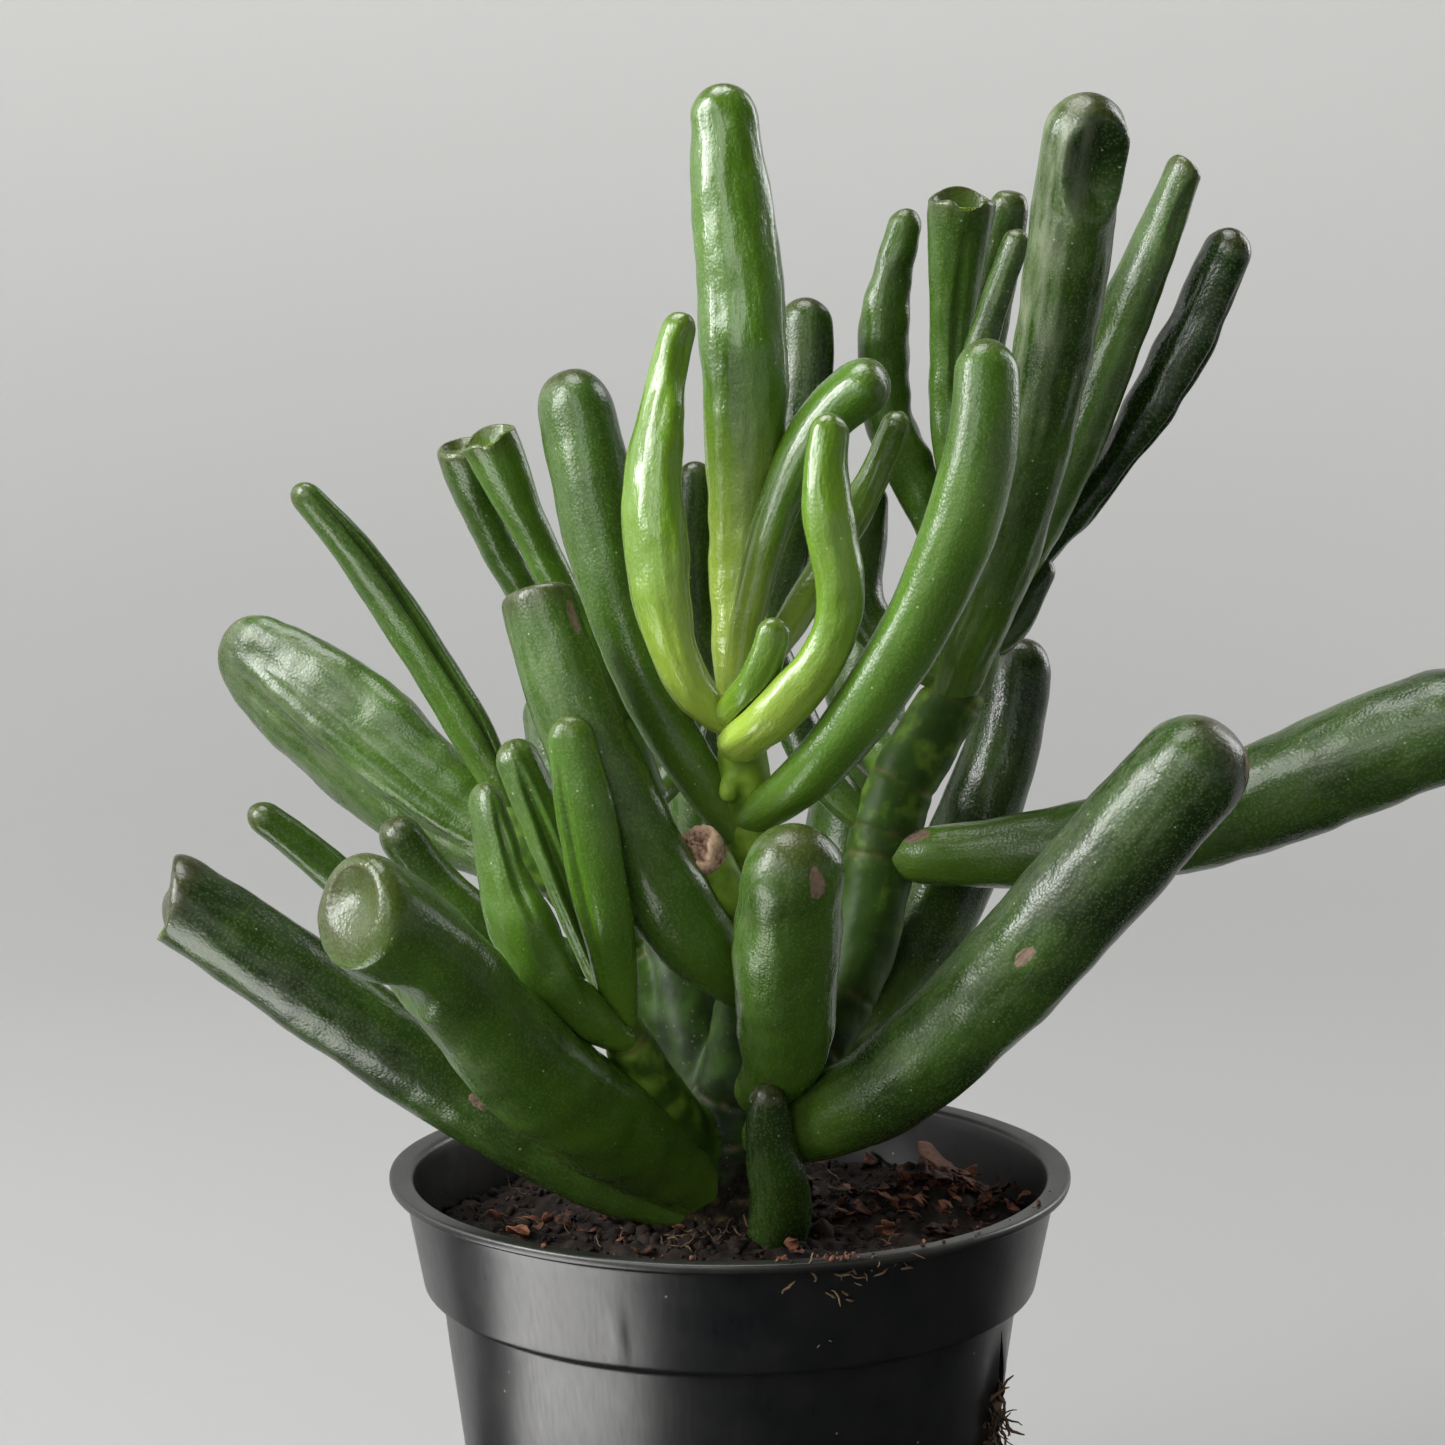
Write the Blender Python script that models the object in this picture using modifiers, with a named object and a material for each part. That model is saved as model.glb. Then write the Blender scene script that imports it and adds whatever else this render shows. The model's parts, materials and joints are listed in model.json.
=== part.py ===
"""Finger-leaved jade plant in a thin plastic nursery pot.

The branching stem, its roots and every leaf are shoots: each grows from a station on its parent,
follows a few headings from base to tip and has a width at each of them. A leaf is cut clear of the
stem that it grows from and of any earlier leaf that it would touch. The pot stands on z = 0 with its
axis on the world Z axis. Lengths are in millimetres here and become metres when a mesh is made.
"""

import math
from typing import NamedTuple

import bmesh
import bpy
import numpy as np
from mathutils import Matrix, Vector

PLANT = "finger_leaved_jade_plant"
GUIDES = "guides"

MM = 0.001
CLEARANCE = 0.3  # gap kept between solids that touch
MERGE = 0.00002  # metres, for points that meet on a turned shape's axis

# Pot
RIM_RADIUS = 42.0
POT_HEIGHT = 75.0
LIP_WIDTH = 1.8
LIP_THICKNESS = 1.3
LIP_EDGE = 0.4
BAND_HEIGHT = 13.0
BAND_TAPER = 2.5
BAND_STEP = 2.1
FOOT_RADIUS = 28.0
FOOT_ROUNDING = 2.0
WALL = 1.1
FLOOR_THICKNESS = 1.6
DRAIN_RADIUS = 2.4
DRAIN_CIRCLE = 18.0
DRAIN_COUNT = 6
SPLIT_AZIMUTH = -22.0
SPLIT_WIDTH = 1.6
SPLIT_HEIGHT = 30.0
SPLIT_DROP = 1.5  # from the band's lower edge down to the split
POT_SIDES = 40
ARC_STEPS = (45, 90)  # degrees round the foot's edge, from its side to its underside
CUT_DEPTH = 4.0  # length of a cutter through a wall or floor, in thicknesses of it

# Soil
SOIL_DROP = 7.5  # from the rim down to the soil at the wall
SOIL_MOUND = 1.5
SOIL_RINGS = 3

# Plant
LEAF_GIRTH = 1.0
LEAF_REACH = 1.0
PLANTING_DEPTH = 22.0
SEAT_OFFSET = -1.0  # along X, from the pot's axis to where the stem is planted
PATH_STEPS = 40
SHOOT_SIDES = 8
SHOOT_RINGS = 6
TIP_ANGLES = (40, 74)  # where a rounded tip has its last loops
STEEP = 0.05  # a heading that leans less than this has no side of its own
CREASE = 50  # degrees, edges that turn by more are sharp

# Loose pieces
TUFT_RADIUS = 2.7
TUFT_LENGTH = 17.0
TUFT_PROUD = 0.8  # from the wall's outer face out to the tuft's middle
TONGUE_LENGTH = 13.6  # the part of the tuft inside the split
SCRAP_LENGTH = 15.0
SCRAP_WIDTH = 9.0
SCRAP_THICKNESS = 0.8
SCRAP_PLACE = (33.0, 6.0)
SCRAP_LIFT = 0.5  # its lower end over the soil, past the clearance, so that its middle arches clear

SOIL_TOP = POT_HEIGHT - SOIL_DROP
BAND_TOP_RADIUS = RIM_RADIUS - LIP_WIDTH
BAND_FOOT_RADIUS = BAND_TOP_RADIUS - BAND_TAPER
BAND_FOOT = POT_HEIGHT - LIP_THICKNESS - BAND_HEIGHT
BODY_TOP_RADIUS = BAND_FOOT_RADIUS - BAND_STEP
SEAT_HEIGHT = SOIL_TOP - PLANTING_DEPTH
ROOT_DEPTH = SEAT_HEIGHT - FLOOR_THICKNESS  # from where the stem is planted to the pot's floor

PATHS = {}  # each shoot's centreline, by the shoot's name


class Shoot(NamedTuple):
    """A stem, root or leaf, described from its base to its tip."""

    name: str
    parent: str
    at: float  # station on the parent, as a share of its length
    long: float  # along the centreline, from the parent's axis; a root's is a share of ROOT_DEPTH
    turns: tuple  # headings (azimuth, rise) in degrees, evenly spaced
    wide: tuple  # full widths, evenly spaced
    flat: float = 1.0  # depth over width
    roll: float = 0.0  # turn of the section about the centreline, in degrees
    cut: float = 0.0  # share of the tip's width that is flat, 0 for a round tip
    lean: float = 0.0  # how far a flat tip leans, in degrees
    young: bool = False


STEMS = (
    Shoot("stem", "", 0, 92, ((150, 88), (-36, 85), (-55, 77), (-105, 75), (-137, 80)),
          (13, 14, 9.4, 7, 5.6)),
    Shoot("right_branch", "stem", 0.40, 73, ((19, 26), (35, 55), (46, 76), (12, 57), (45, 80)),
          (7.5, 8.2, 9, 8.4, 7)),
    Shoot("left_branch", "stem", 0.30, 31, ((-132, 46), (-132, 48), (-134, 63)), (7, 7, 6)),
    Shoot("rear_branch", "stem", 0.33, 64, ((146, 64), (113, 62), (116, 61), (138, 67)),
          (9, 8.6, 6.4, 4.5)),
    Shoot("far_branch", "rear_branch", 0.17, 47, ((138, 50), (150, 49), (173, 48), (148, 65)),
          (6.5, 6.5, 6, 4.5)),
    Shoot("pruned_stub", "stem", 0.65, 17, ((-116, 38), (-120, 42), (-171, 67)), (6, 6.4, 6.2),
          cut=0.86, lean=-12),
)

ROOTS = (
    Shoot("front_root", "stem", 0.02, 0.68, ((-80, -30), (-95, -50), (-70, -20)), (5, 3.2, 1.6)),
    Shoot("right_root", "stem", 0.04, 0.64, ((-10, -25), (5, -45), (-15, -30)), (4.6, 3, 1.5)),
    Shoot("back_root", "stem", 0.02, 0.66, ((80, -35), (70, -50), (100, -25)), (4.8, 3, 1.6)),
    Shoot("left_root", "stem", 0.05, 0.62, ((170, -25), (-170, -50), (-178, -20)), (4.6, 3, 1.5)),
    Shoot("tap_root", "stem", 0.03, 0.82, ((20, -75), (-30, -85), (40, -60)), (6, 4, 2)),
)

LEAVES = (
    # On the main stem, from the soil up
    Shoot("leaf_main_01", "stem", 0.17, 36, ((-42, 16), (-66, 48), (-120, 70), (-80, 78)),
          (6, 7.8, 7.2, 4.4), flat=0.85),
    Shoot("leaf_main_02", "stem", 0.25, 80, ((-162, 18), (-172, 33), (-167, 38), (-176, 34)),
          (7, 9.6, 11.6, 12, 11), flat=0.92, cut=0.4, lean=14),
    Shoot("leaf_main_03", "stem", 0.275, 78, ((-148, 36), (-129, 32), (-123, 43), (-130, 30)),
          (8, 13, 13.8, 12.6, 12.8), flat=0.95, cut=0.5, lean=12),
    Shoot("leaf_main_04", "stem", 0.30, 60, ((100, 10), (96, 30), (88, 48), (84, 60)),
          (7, 10.5, 11.5, 10.5), flat=0.9),
    Shoot("leaf_main_05", "stem", 0.375, 84, ((-35, 8), (-29, 41), (-20, 50), (-15, 49)),
          (8, 12, 13.6, 13.8, 13.6), flat=0.95),
    Shoot("leaf_main_06", "stem", 0.43, 48.5, ((-52, 12), (-87, 56), (-87, 60), (-82, 53)),
          (6, 10, 12.6, 12.6, 11), flat=0.9),
    Shoot("leaf_main_07", "stem", 0.575, 61, ((-118, 25), (-148, 55), (-171, 67), (140, 68)),
          (6, 10.5, 11.6, 10.6, 9.4), flat=0.85, cut=0.8, lean=-8),
    Shoot("leaf_main_08", "stem", 0.775, 63, ((-161, 52), (166, 62), (131, 73), (152, 74)),
          (5, 7.3, 8.6, 11.2, 10.4), flat=0.85),
    Shoot("leaf_main_09", "stem", 0.825, 69, ((-58, 22), (-18, 54), (-14, 70), (98, 77)),
          (5.4, 7.4, 8.6, 9.4, 7.8), flat=0.85),
    Shoot("leaf_main_10", "stem", 0.925, 50, ((-93, 6), (-15, 47), (-170, 80), (53, 72)),
          (5, 6.4, 5.8, 6.2, 4.8), flat=0.8, young=True),
    Shoot("leaf_main_11", "stem", 0.96, 20, ((-105, 12), (-72, 26), (-35, 62), (20, 84)),
          (4, 5, 4.4, 3.8), flat=0.8, young=True),
    Shoot("leaf_main_12", "stem", 0.95, 55, ((-130, 19), (-167, 77), (74, 76), (44, 68)),
          (4.4, 6.2, 8.4, 6.4, 4.4), flat=0.8, young=True),
    Shoot("leaf_main_13", "stem", 0.975, 74, ((88, 66), (36, 87), (122, 82), (146, 82)),
          (4.6, 7.6, 10, 10, 7.4), flat=0.85, young=True),
    Shoot("leaf_main_14", "stem", 0.975, 45, ((7, 86), (11, 76), (22, 60), (-15, 30)),
          (4, 5.6, 6.4, 8.2), flat=0.8, cut=0.7, young=True),
    Shoot("leaf_main_15", "stem", 0.93, 38, ((98, 14), (131, 64), (129, 85), (85, 79)),
          (4, 5.8, 6, 4.6), flat=0.85),
    Shoot("leaf_main_16", "stem", 0.95, 62, ((80, 36), (76, 40), (33, 79), (114, 80)),
          (4.4, 7, 8, 6.4), flat=0.85),
    Shoot("leaf_main_17", "stem", 0.97, 44, ((44, 48), (48, 45), (36, 55), (-30, 65)),
          (3.4, 4.2, 4.6, 3.8), flat=0.85, young=True),
    # On the right branch
    Shoot("leaf_right_01", "right_branch", 0.18, 66, ((50, 2), (44, 48), (32, 64), (30, 84)),
          (7, 11.5, 12, 10.5, 8.8), flat=0.85),
    Shoot("leaf_right_02", "right_branch", 0.28, 60, ((98, 5), (84, 30), (76, 48), (68, 60)),
          (6.5, 10, 11, 10), flat=0.9),
    Shoot("leaf_right_03", "right_branch", 0.525, 79, ((-24, 4), (-9, 10), (-17, 25), (-8, 19)),
          (6.5, 10, 13, 14.4, 14), flat=0.95),
    Shoot("leaf_right_04", "right_branch", 0.57, 34, ((165, 30), (140, 48), (133, 62), (141, 62)),
          (4.6, 6.4, 6.2, 5), flat=0.85),
    Shoot("leaf_right_05", "right_branch", 0.66, 54, ((110, 10), (100, 36), (96, 55), (110, 66)),
          (5, 8.6, 9.4, 8), flat=0.88),
    Shoot("leaf_right_06", "right_branch", 0.825, 81, ((-69, 52), (-54, 67), (-79, 63), (-79, 68)),
          (6, 8.8, 9.2, 10, 9.6), flat=0.9, cut=0.6, lean=-30),
    Shoot("leaf_right_07", "right_branch", 0.85, 32, ((174, 25), (168, 42), (60, 72), (82, 80)),
          (4.4, 6.6, 6.8, 5), flat=0.85),
    Shoot("leaf_right_08", "right_branch", 0.925, 16, ((28, 0), (20, 58), (22, 60)),
          (4.4, 5.6, 4.4), flat=0.85),
    Shoot("leaf_right_09", "right_branch", 0.95, 64, ((29, 53), (3, 66), (-8, 69), (-12, 67)),
          (5, 8, 8.6, 7.6, 5.4), flat=0.8, cut=0.5, lean=20),
    Shoot("leaf_right_10", "right_branch", 0.95, 64, ((68, 20), (-13, 50), (-3, 61), (-41, 66)),
          (4.2, 5, 5.6, 7.4, 6.2), flat=0.8),
    Shoot("leaf_right_11", "right_branch", 0.975, 54, ((150, 63), (152, 62), (-102, 87), (-9, 70)),
          (4.4, 5.8, 6.2, 5, 3.6), flat=0.85),
    Shoot("leaf_right_12", "right_branch", 0.985, 52, ((138, 80), (136, 78), (-66, 84), (-74, 78)),
          (4.4, 5.8, 5.8, 8.8), flat=0.9, cut=0.85),
    Shoot("leaf_right_13", "right_branch", 0.975, 55, ((85, 74), (97, 69), (11, 78), (-55, 77)),
          (4.4, 6, 6, 5), flat=0.85),
    Shoot("leaf_right_14", "right_branch", 0.975, 49, ((-109, 85), (-133, 81), (-2, 77), (2, 68)),
          (3.4, 4, 4, 3.4), flat=0.9),
    # On the left branch
    Shoot("leaf_left_01", "left_branch", 0.89, 40, ((-133, 21), (-147, 50), (-168, 74), (125, 70)),
          (4.6, 8.6, 9.6, 7.2, 4.8), flat=0.75),
    Shoot("leaf_left_02", "left_branch", 0.92, 38, ((128, 63), (-148, 66), (158, 66), (170, 67)),
          (4, 5.6, 6, 5.4), flat=0.8),
    Shoot("leaf_left_03", "left_branch", 0.97, 41, ((-90, 55), (-108, 63), (-172, 80), (-168, 79)),
          (4.2, 6, 7, 5.2), flat=0.75),
    # On the rear branch
    Shoot("leaf_rear_01", "rear_branch", 0.45, 54, ((70, 10), (86, 34), (96, 52), (110, 60)),
          (5, 9, 10, 8.6), flat=0.88),
    Shoot("leaf_rear_02", "rear_branch", 0.74, 46, ((60, 20), (84, 50), (98, 68), (120, 72)),
          (4.6, 7.6, 8.4, 7), flat=0.85),
    Shoot("leaf_rear_03", "rear_branch", 0.95, 41, ((-162, 36), (-157, 57), (-143, 59), (-129, 71)),
          (4.4, 5.6, 5.8, 7.4), flat=0.85, cut=0.7),
    Shoot("leaf_rear_04", "rear_branch", 0.93, 44, ((-97, 30), (-153, 61), (-137, 59), (-153, 64)),
          (4, 4.8, 4.8, 7.4), flat=0.9, cut=0.85),
    # On the far left branch
    Shoot("leaf_far_01", "far_branch", 0.36, 38, ((-150, 5), (-172, 22), (-174, 44), (-160, 58)),
          (4.4, 6, 6.8, 6.2), flat=0.85),
    Shoot("leaf_far_02", "far_branch", 0.55, 45, ((92, 0), (100, 30), (104, 44), (108, 50)),
          (5, 8.6, 9.6, 8), flat=0.88),
    Shoot("leaf_far_03", "far_branch", 0.38, 53, ((-165, 0), (-170, 12), (-170, 40), (-162, 38)),
          (4, 5, 5.6, 4.8), flat=0.85),
    Shoot("leaf_far_04", "far_branch", 0.66, 57, ((150, 18), (158, 32), (155, 34), (160, 24)),
          (6, 13, 18.5, 17.5, 12), flat=0.55, roll=80),
    Shoot("leaf_far_05", "far_branch", 0.90, 49, ((-130, 60), (-178, 59), (-162, 56), (-172, 46)),
          (4.4, 6.6, 6.6, 6, 4.4), flat=0.75),
)


def direction(azimuth, rise):
    """Unit vector: azimuth turns about Z from +X, rise is above the horizon, both in degrees."""
    a, r = math.radians(azimuth), math.radians(rise)
    return Vector((math.cos(r) * math.cos(a), math.cos(r) * math.sin(a), math.sin(r)))


def eased(values, fraction):
    """Value at a fraction of an evenly spaced list, on a curve through its numbers or vectors."""
    x = min(max(fraction, 0.0), 1.0) * (len(values) - 1)
    i = min(int(x), len(values) - 2)
    u = x - i
    a, b, c, d = (values[min(max(k, 0), len(values) - 1)] for k in (i - 1, i, i + 1, i + 2))
    bend = (a * 2 - b * 5 + c * 4 - d) * (u * u) + (b * 3 - a - c * 3 + d) * (u * u * u)
    return b + (c - a) * (0.5 * u) + bend * 0.5


class Path:
    """A grown centreline: points and section axes at even steps along its length."""

    def __init__(self, start, length, turns):
        headings = [direction(*turn) for turn in turns]
        step = length / PATH_STEPS
        ahead = eased(headings, 0.0).normalized()
        side = Vector((0, 0, 1)).cross(ahead)
        side = side.normalized() if side.length > STEEP else Vector((0, 1, 0))
        self.length = length
        self.points = [Vector(start)]
        self.frames = [(side, ahead.cross(side), ahead)]
        for k in range(PATH_STEPS):
            middle = eased(headings, (k + 0.5) / PATH_STEPS).normalized()
            self.points.append(self.points[-1] + middle * step)
            later = eased(headings, (k + 1) / PATH_STEPS).normalized()
            side = ahead.rotation_difference(later) @ side
            ahead = later
            self.frames.append((side, ahead.cross(side), ahead))

    def at(self, fraction):
        """(point, side, normal, ahead) at a fraction of the length, or past its end in line."""
        x = max(fraction, 0.0) * PATH_STEPS
        k = min(int(x), PATH_STEPS - 1)
        u = x - k
        point = self.points[k] + (self.points[k + 1] - self.points[k]) * u
        axes = (self.frames[k][j].lerp(self.frames[k + 1][j], min(u, 1)).normalized() for j in range(3))
        return point, *axes


def grow_path(shoot, stretch=1.0):
    """Lay out a shoot's centreline from its parent's axis, or from its seat in the soil."""
    if shoot.parent:
        start = PATHS[shoot.parent].at(shoot.at)[0]
    else:
        start = Vector((SEAT_OFFSET, 0, SEAT_HEIGHT))
    PATHS[shoot.name] = Path(start, shoot.long * stretch, shoot.turns)


def half_width(shoot, fraction):
    girth = LEAF_GIRTH if shoot in LEAVES else 1.0
    return eased(shoot.wide, fraction) * girth / 2


def ring(shoot, fraction, share, grow, lean):
    """One loop of points round a shoot, at a share of its full width there."""
    point, side, normal, ahead = PATHS[shoot.name].at(fraction)
    turn = Matrix.Rotation(math.radians(shoot.roll), 3, ahead)
    side, normal = turn @ side, turn @ normal
    width = half_width(shoot, fraction) * share + grow
    depth = half_width(shoot, fraction) * share * shoot.flat + grow
    loop = []
    for k in range(SHOOT_SIDES):
        angle = 2 * math.pi * k / SHOOT_SIDES
        across = math.cos(angle) * width
        up = math.sin(angle) * depth
        loop.append(point + side * across + normal * up + ahead * up * math.tan(math.radians(lean)))
    return loop


def shoot_loops(shoot, grow):
    """Loops from base to tip; the tip rounds over a quarter circle as wide as its round share."""
    length = PATHS[shoot.name].length
    rounding = (1 - shoot.cut) * half_width(shoot, 1.0)
    neck = 1 - rounding / length
    loops = [ring(shoot, neck * k / SHOOT_RINGS, 1.0, grow, 0) for k in range(SHOOT_RINGS + 1)]
    for degrees in TIP_ANGLES:
        angle = math.radians(degrees)
        along = neck + math.sin(angle) * (rounding + grow) / length
        share = shoot.cut + (1 - shoot.cut) * math.cos(angle)
        loops.append(ring(shoot, along, share, grow, shoot.lean * math.sin(angle)))
    return loops


def lofted(name, loops):
    """A closed solid through loops of equal length, with both ends capped."""
    made = bmesh.new()
    rows = [[made.verts.new(p * MM) for p in loop] for loop in loops]
    sides = len(rows[0])
    for low, high in zip(rows, rows[1:]):
        for k in range(sides):
            n = (k + 1) % sides
            made.faces.new((low[k], low[n], high[n], high[k]))
    made.faces.new(rows[0][::-1])
    made.faces.new(rows[-1])
    bmesh.ops.recalc_face_normals(made, faces=made.faces)
    mesh = bpy.data.meshes.new(name)
    made.to_mesh(mesh)
    made.free()
    mesh.shade_smooth()
    mesh.set_sharp_from_angle(angle=math.radians(CREASE))
    return bpy.data.objects.new(name, mesh)


def shoot_solid(shoot, grow=0.0):
    return lofted(shoot.name, shoot_loops(shoot, grow))


def nearest_gap(one, other):
    """Smallest distance between two shoots' skins, taking both as round."""
    stations = [k / PATH_STEPS for k in range(PATH_STEPS + 1)]
    a = np.array(PATHS[one.name].points)
    b = np.array(PATHS[other.name].points)
    wide_a = np.array([half_width(one, s) for s in stations])
    wide_b = np.array([half_width(other, s) for s in stations])
    apart = np.linalg.norm(a[:, None] - b[None], axis=2)
    return (apart - wide_a[:, None] - wide_b[None]).min()


def soil_height(x, y):
    """Height of the soil's crowned top over a point."""
    edge = BAND_TOP_RADIUS - WALL - CLEARANCE
    return SOIL_TOP + SOIL_MOUND * max(0.0, 1 - (x * x + y * y) / edge**2)


def meets_soil(shoot):
    for k, point in enumerate(PATHS[shoot.name].points):
        low = point.z - half_width(shoot, k / PATH_STEPS)
        if low < soil_height(point.x, point.y) + CLEARANCE:
            return True
    return False


def new_collection(name):
    made = bpy.data.collections.new(name)
    bpy.context.scene.collection.children.link(made)
    return made


def material(name, colour, roughness, metallic=0.0):
    made = bpy.data.materials.new(name)
    made.use_nodes = True
    shader = made.node_tree.nodes["Principled BSDF"]
    shader.inputs["Base Color"].default_value = (*colour, 1)
    shader.inputs["Roughness"].default_value = roughness
    shader.inputs["Metallic"].default_value = metallic
    return made


def place(piece, finish):
    """Put a finished piece in the plant's collection with its material."""
    if any(step.type == "BOOLEAN" for step in piece.modifiers):
        weld = piece.modifiers.new("close_slivers", "WELD")
        weld.merge_threshold = MERGE
    piece.data.materials.clear()
    piece.data.materials.append(finish)
    bpy.data.collections[PLANT].objects.link(piece)
    return piece


def combine(piece, tool, operation="DIFFERENCE", solver="MANIFOLD"):
    """Cut a piece with a tool, or join the tool to it; the tool stays as a hidden guide.

    Shoots meet at shallow angles, where the exact solver leaves open slivers, so they use the other one.
    """
    if tool.name not in bpy.data.collections[GUIDES].objects:
        tool.name = f"guide_{tool.name}"
        tool.hide_render = True
        tool.display_type = "WIRE"
        bpy.data.collections[GUIDES].objects.link(tool)
    step = piece.modifiers.new(tool.name, "BOOLEAN")
    step.operation = operation
    step.object = tool
    step.solver = solver


def turned(name, profile, sides):
    """A solid of revolution from (radius, height) points that run down its outer side."""
    mesh = bpy.data.meshes.new(name)
    points = [(r * MM, 0, z * MM) for r, z in profile]
    mesh.from_pydata(points, [(k, k + 1) for k in range(len(points) - 1)], [])
    piece = bpy.data.objects.new(name, mesh)
    screw = piece.modifiers.new("turn", "SCREW")
    screw.steps = sides
    screw.render_steps = sides
    screw.use_merge_vertices = True
    screw.merge_threshold = MERGE
    screw.use_smooth_shade = True
    return piece


def wall_profile(inset):
    """The pot's outer side from lip to foot, moved in by an inset."""
    return [
        (BAND_TOP_RADIUS - inset, POT_HEIGHT - LIP_THICKNESS),
        (BAND_FOOT_RADIUS - inset, BAND_FOOT),
        (BODY_TOP_RADIUS - inset, BAND_FOOT),
        (FOOT_RADIUS - inset, FOOT_ROUNDING),
    ]


def wall_core(inset):
    """Everything within the pot's outer side moved in by an inset."""
    return [(0, POT_HEIGHT), *wall_profile(inset), (FOOT_RADIUS - inset, 0), (0, 0)]


def body_radius(height):
    """Outer radius of the pot between its foot and its band."""
    share = (height - FOOT_ROUNDING) / (BAND_FOOT - FOOT_ROUNDING)
    return FOOT_RADIUS + (BODY_TOP_RADIUS - FOOT_RADIUS) * share


def make_pot(finish):
    inner = wall_profile(WALL)[::-1]
    inner[0] = (inner[0][0], FLOOR_THICKNESS)
    inner[1] = (inner[1][0], BAND_FOOT - WALL)
    inner[2] = (inner[2][0], BAND_FOOT)
    inner[3] = (inner[3][0], POT_HEIGHT)
    lip = [
        (RIM_RADIUS - LIP_EDGE, POT_HEIGHT),
        (RIM_RADIUS, POT_HEIGHT - LIP_EDGE),
        (RIM_RADIUS, POT_HEIGHT - LIP_THICKNESS),
    ]
    foot = []
    for degrees in ARC_STEPS:
        angle = math.radians(degrees)
        radius = FOOT_RADIUS - FOOT_ROUNDING * (1 - math.cos(angle))
        foot.append((radius, FOOT_ROUNDING * (1 - math.sin(angle))))
    outline = [(0, FLOOR_THICKNESS), *inner, *lip, *wall_profile(0), *foot, (0, 0)]
    pot = turned("pot", outline, POT_SIDES)
    for k in range(DRAIN_COUNT):
        combine(pot, drain_drill(k), solver="EXACT")
    reach = CUT_DEPTH * WALL
    combine(pot, wall_block("split", SPLIT_WIDTH, SPLIT_HEIGHT, reach, reach), solver="EXACT")
    return place(pot, finish)


def drain_drill(k):
    """The cutter for one drain hole; half a facet's turn keeps it off the floor's edges."""
    angle = 2 * math.pi * k / DRAIN_COUNT + math.pi / POT_SIDES
    drill = bmesh.new()
    bmesh.ops.create_cone(
        drill, cap_ends=True, segments=12, radius1=DRAIN_RADIUS * MM, radius2=DRAIN_RADIUS * MM,
        depth=CUT_DEPTH * FLOOR_THICKNESS * MM,
    )
    centre = Vector((math.cos(angle), math.sin(angle), 0)) * DRAIN_CIRCLE * MM
    bmesh.ops.translate(drill, verts=drill.verts, vec=centre)
    mesh = bpy.data.meshes.new(f"drain_{k + 1}")
    drill.to_mesh(mesh)
    drill.free()
    return bpy.data.objects.new(mesh.name, mesh)


def split_middle():
    return BAND_FOOT - WALL - SPLIT_DROP - SPLIT_HEIGHT / 2


def wall_block(name, width, height, inward, outward):
    """An upright block at the split, from so far inside the wall's outer face to so far outside."""
    block = bmesh.new()
    bmesh.ops.create_cube(block, size=1)
    bmesh.ops.scale(block, verts=block.verts, vec=Vector((inward + outward, width, height)) * MM)
    middle = split_middle()
    outer = body_radius(middle)
    centre = Vector((outer + (outward - inward) / 2, 0, middle)) * MM
    bmesh.ops.translate(block, verts=block.verts, vec=centre)
    about = Matrix.Rotation(math.radians(SPLIT_AZIMUTH), 3, "Z")
    bmesh.ops.rotate(block, verts=block.verts, matrix=about)
    mesh = bpy.data.meshes.new(name)
    block.to_mesh(mesh)
    block.free()
    return bpy.data.objects.new(name, mesh)


def inner_radius(height):
    """Inner radius of the pot beside its band."""
    share = (height - BAND_FOOT) / (POT_HEIGHT - LIP_THICKNESS - BAND_FOOT)
    return BAND_FOOT_RADIUS - WALL + (BAND_TOP_RADIUS - BAND_FOOT_RADIUS) * share


def make_soil(shoots, finish):
    edge = inner_radius(SOIL_TOP) - CLEARANCE
    radii = [edge * k / SOIL_RINGS for k in range(SOIL_RINGS + 1)]
    crown = [(radius, soil_height(radius, 0)) for radius in radii]
    side = [
        (BAND_FOOT_RADIUS - WALL - CLEARANCE, BAND_FOOT + CLEARANCE),
        (BODY_TOP_RADIUS - WALL - CLEARANCE, BAND_FOOT - WALL + CLEARANCE),
        (FOOT_RADIUS - WALL - CLEARANCE, FLOOR_THICKNESS + CLEARANCE),
        (0, FLOOR_THICKNESS + CLEARANCE),
    ]
    soil = turned("soil", crown + side, POT_SIDES)
    for shoot in shoots:
        if meets_soil(shoot):
            combine(soil, shoot_solid(shoot, CLEARANCE))
    return place(soil, finish)


def make_stem(finish):
    """The stem, its branches, the pruned stub and the roots, grown together as one solid."""
    stem = shoot_solid(STEMS[0])
    for shoot in STEMS[1:] + ROOTS:
        combine(stem, shoot_solid(shoot), "UNION")
    return place(stem, finish)


def make_leaf(leaf, earlier, finish):
    piece = shoot_solid(leaf)
    for other in (*STEMS, *earlier):
        if nearest_gap(leaf, other) < CLEARANCE:
            combine(piece, shoot_solid(other, CLEARANCE))
    return place(piece, finish)


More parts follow.
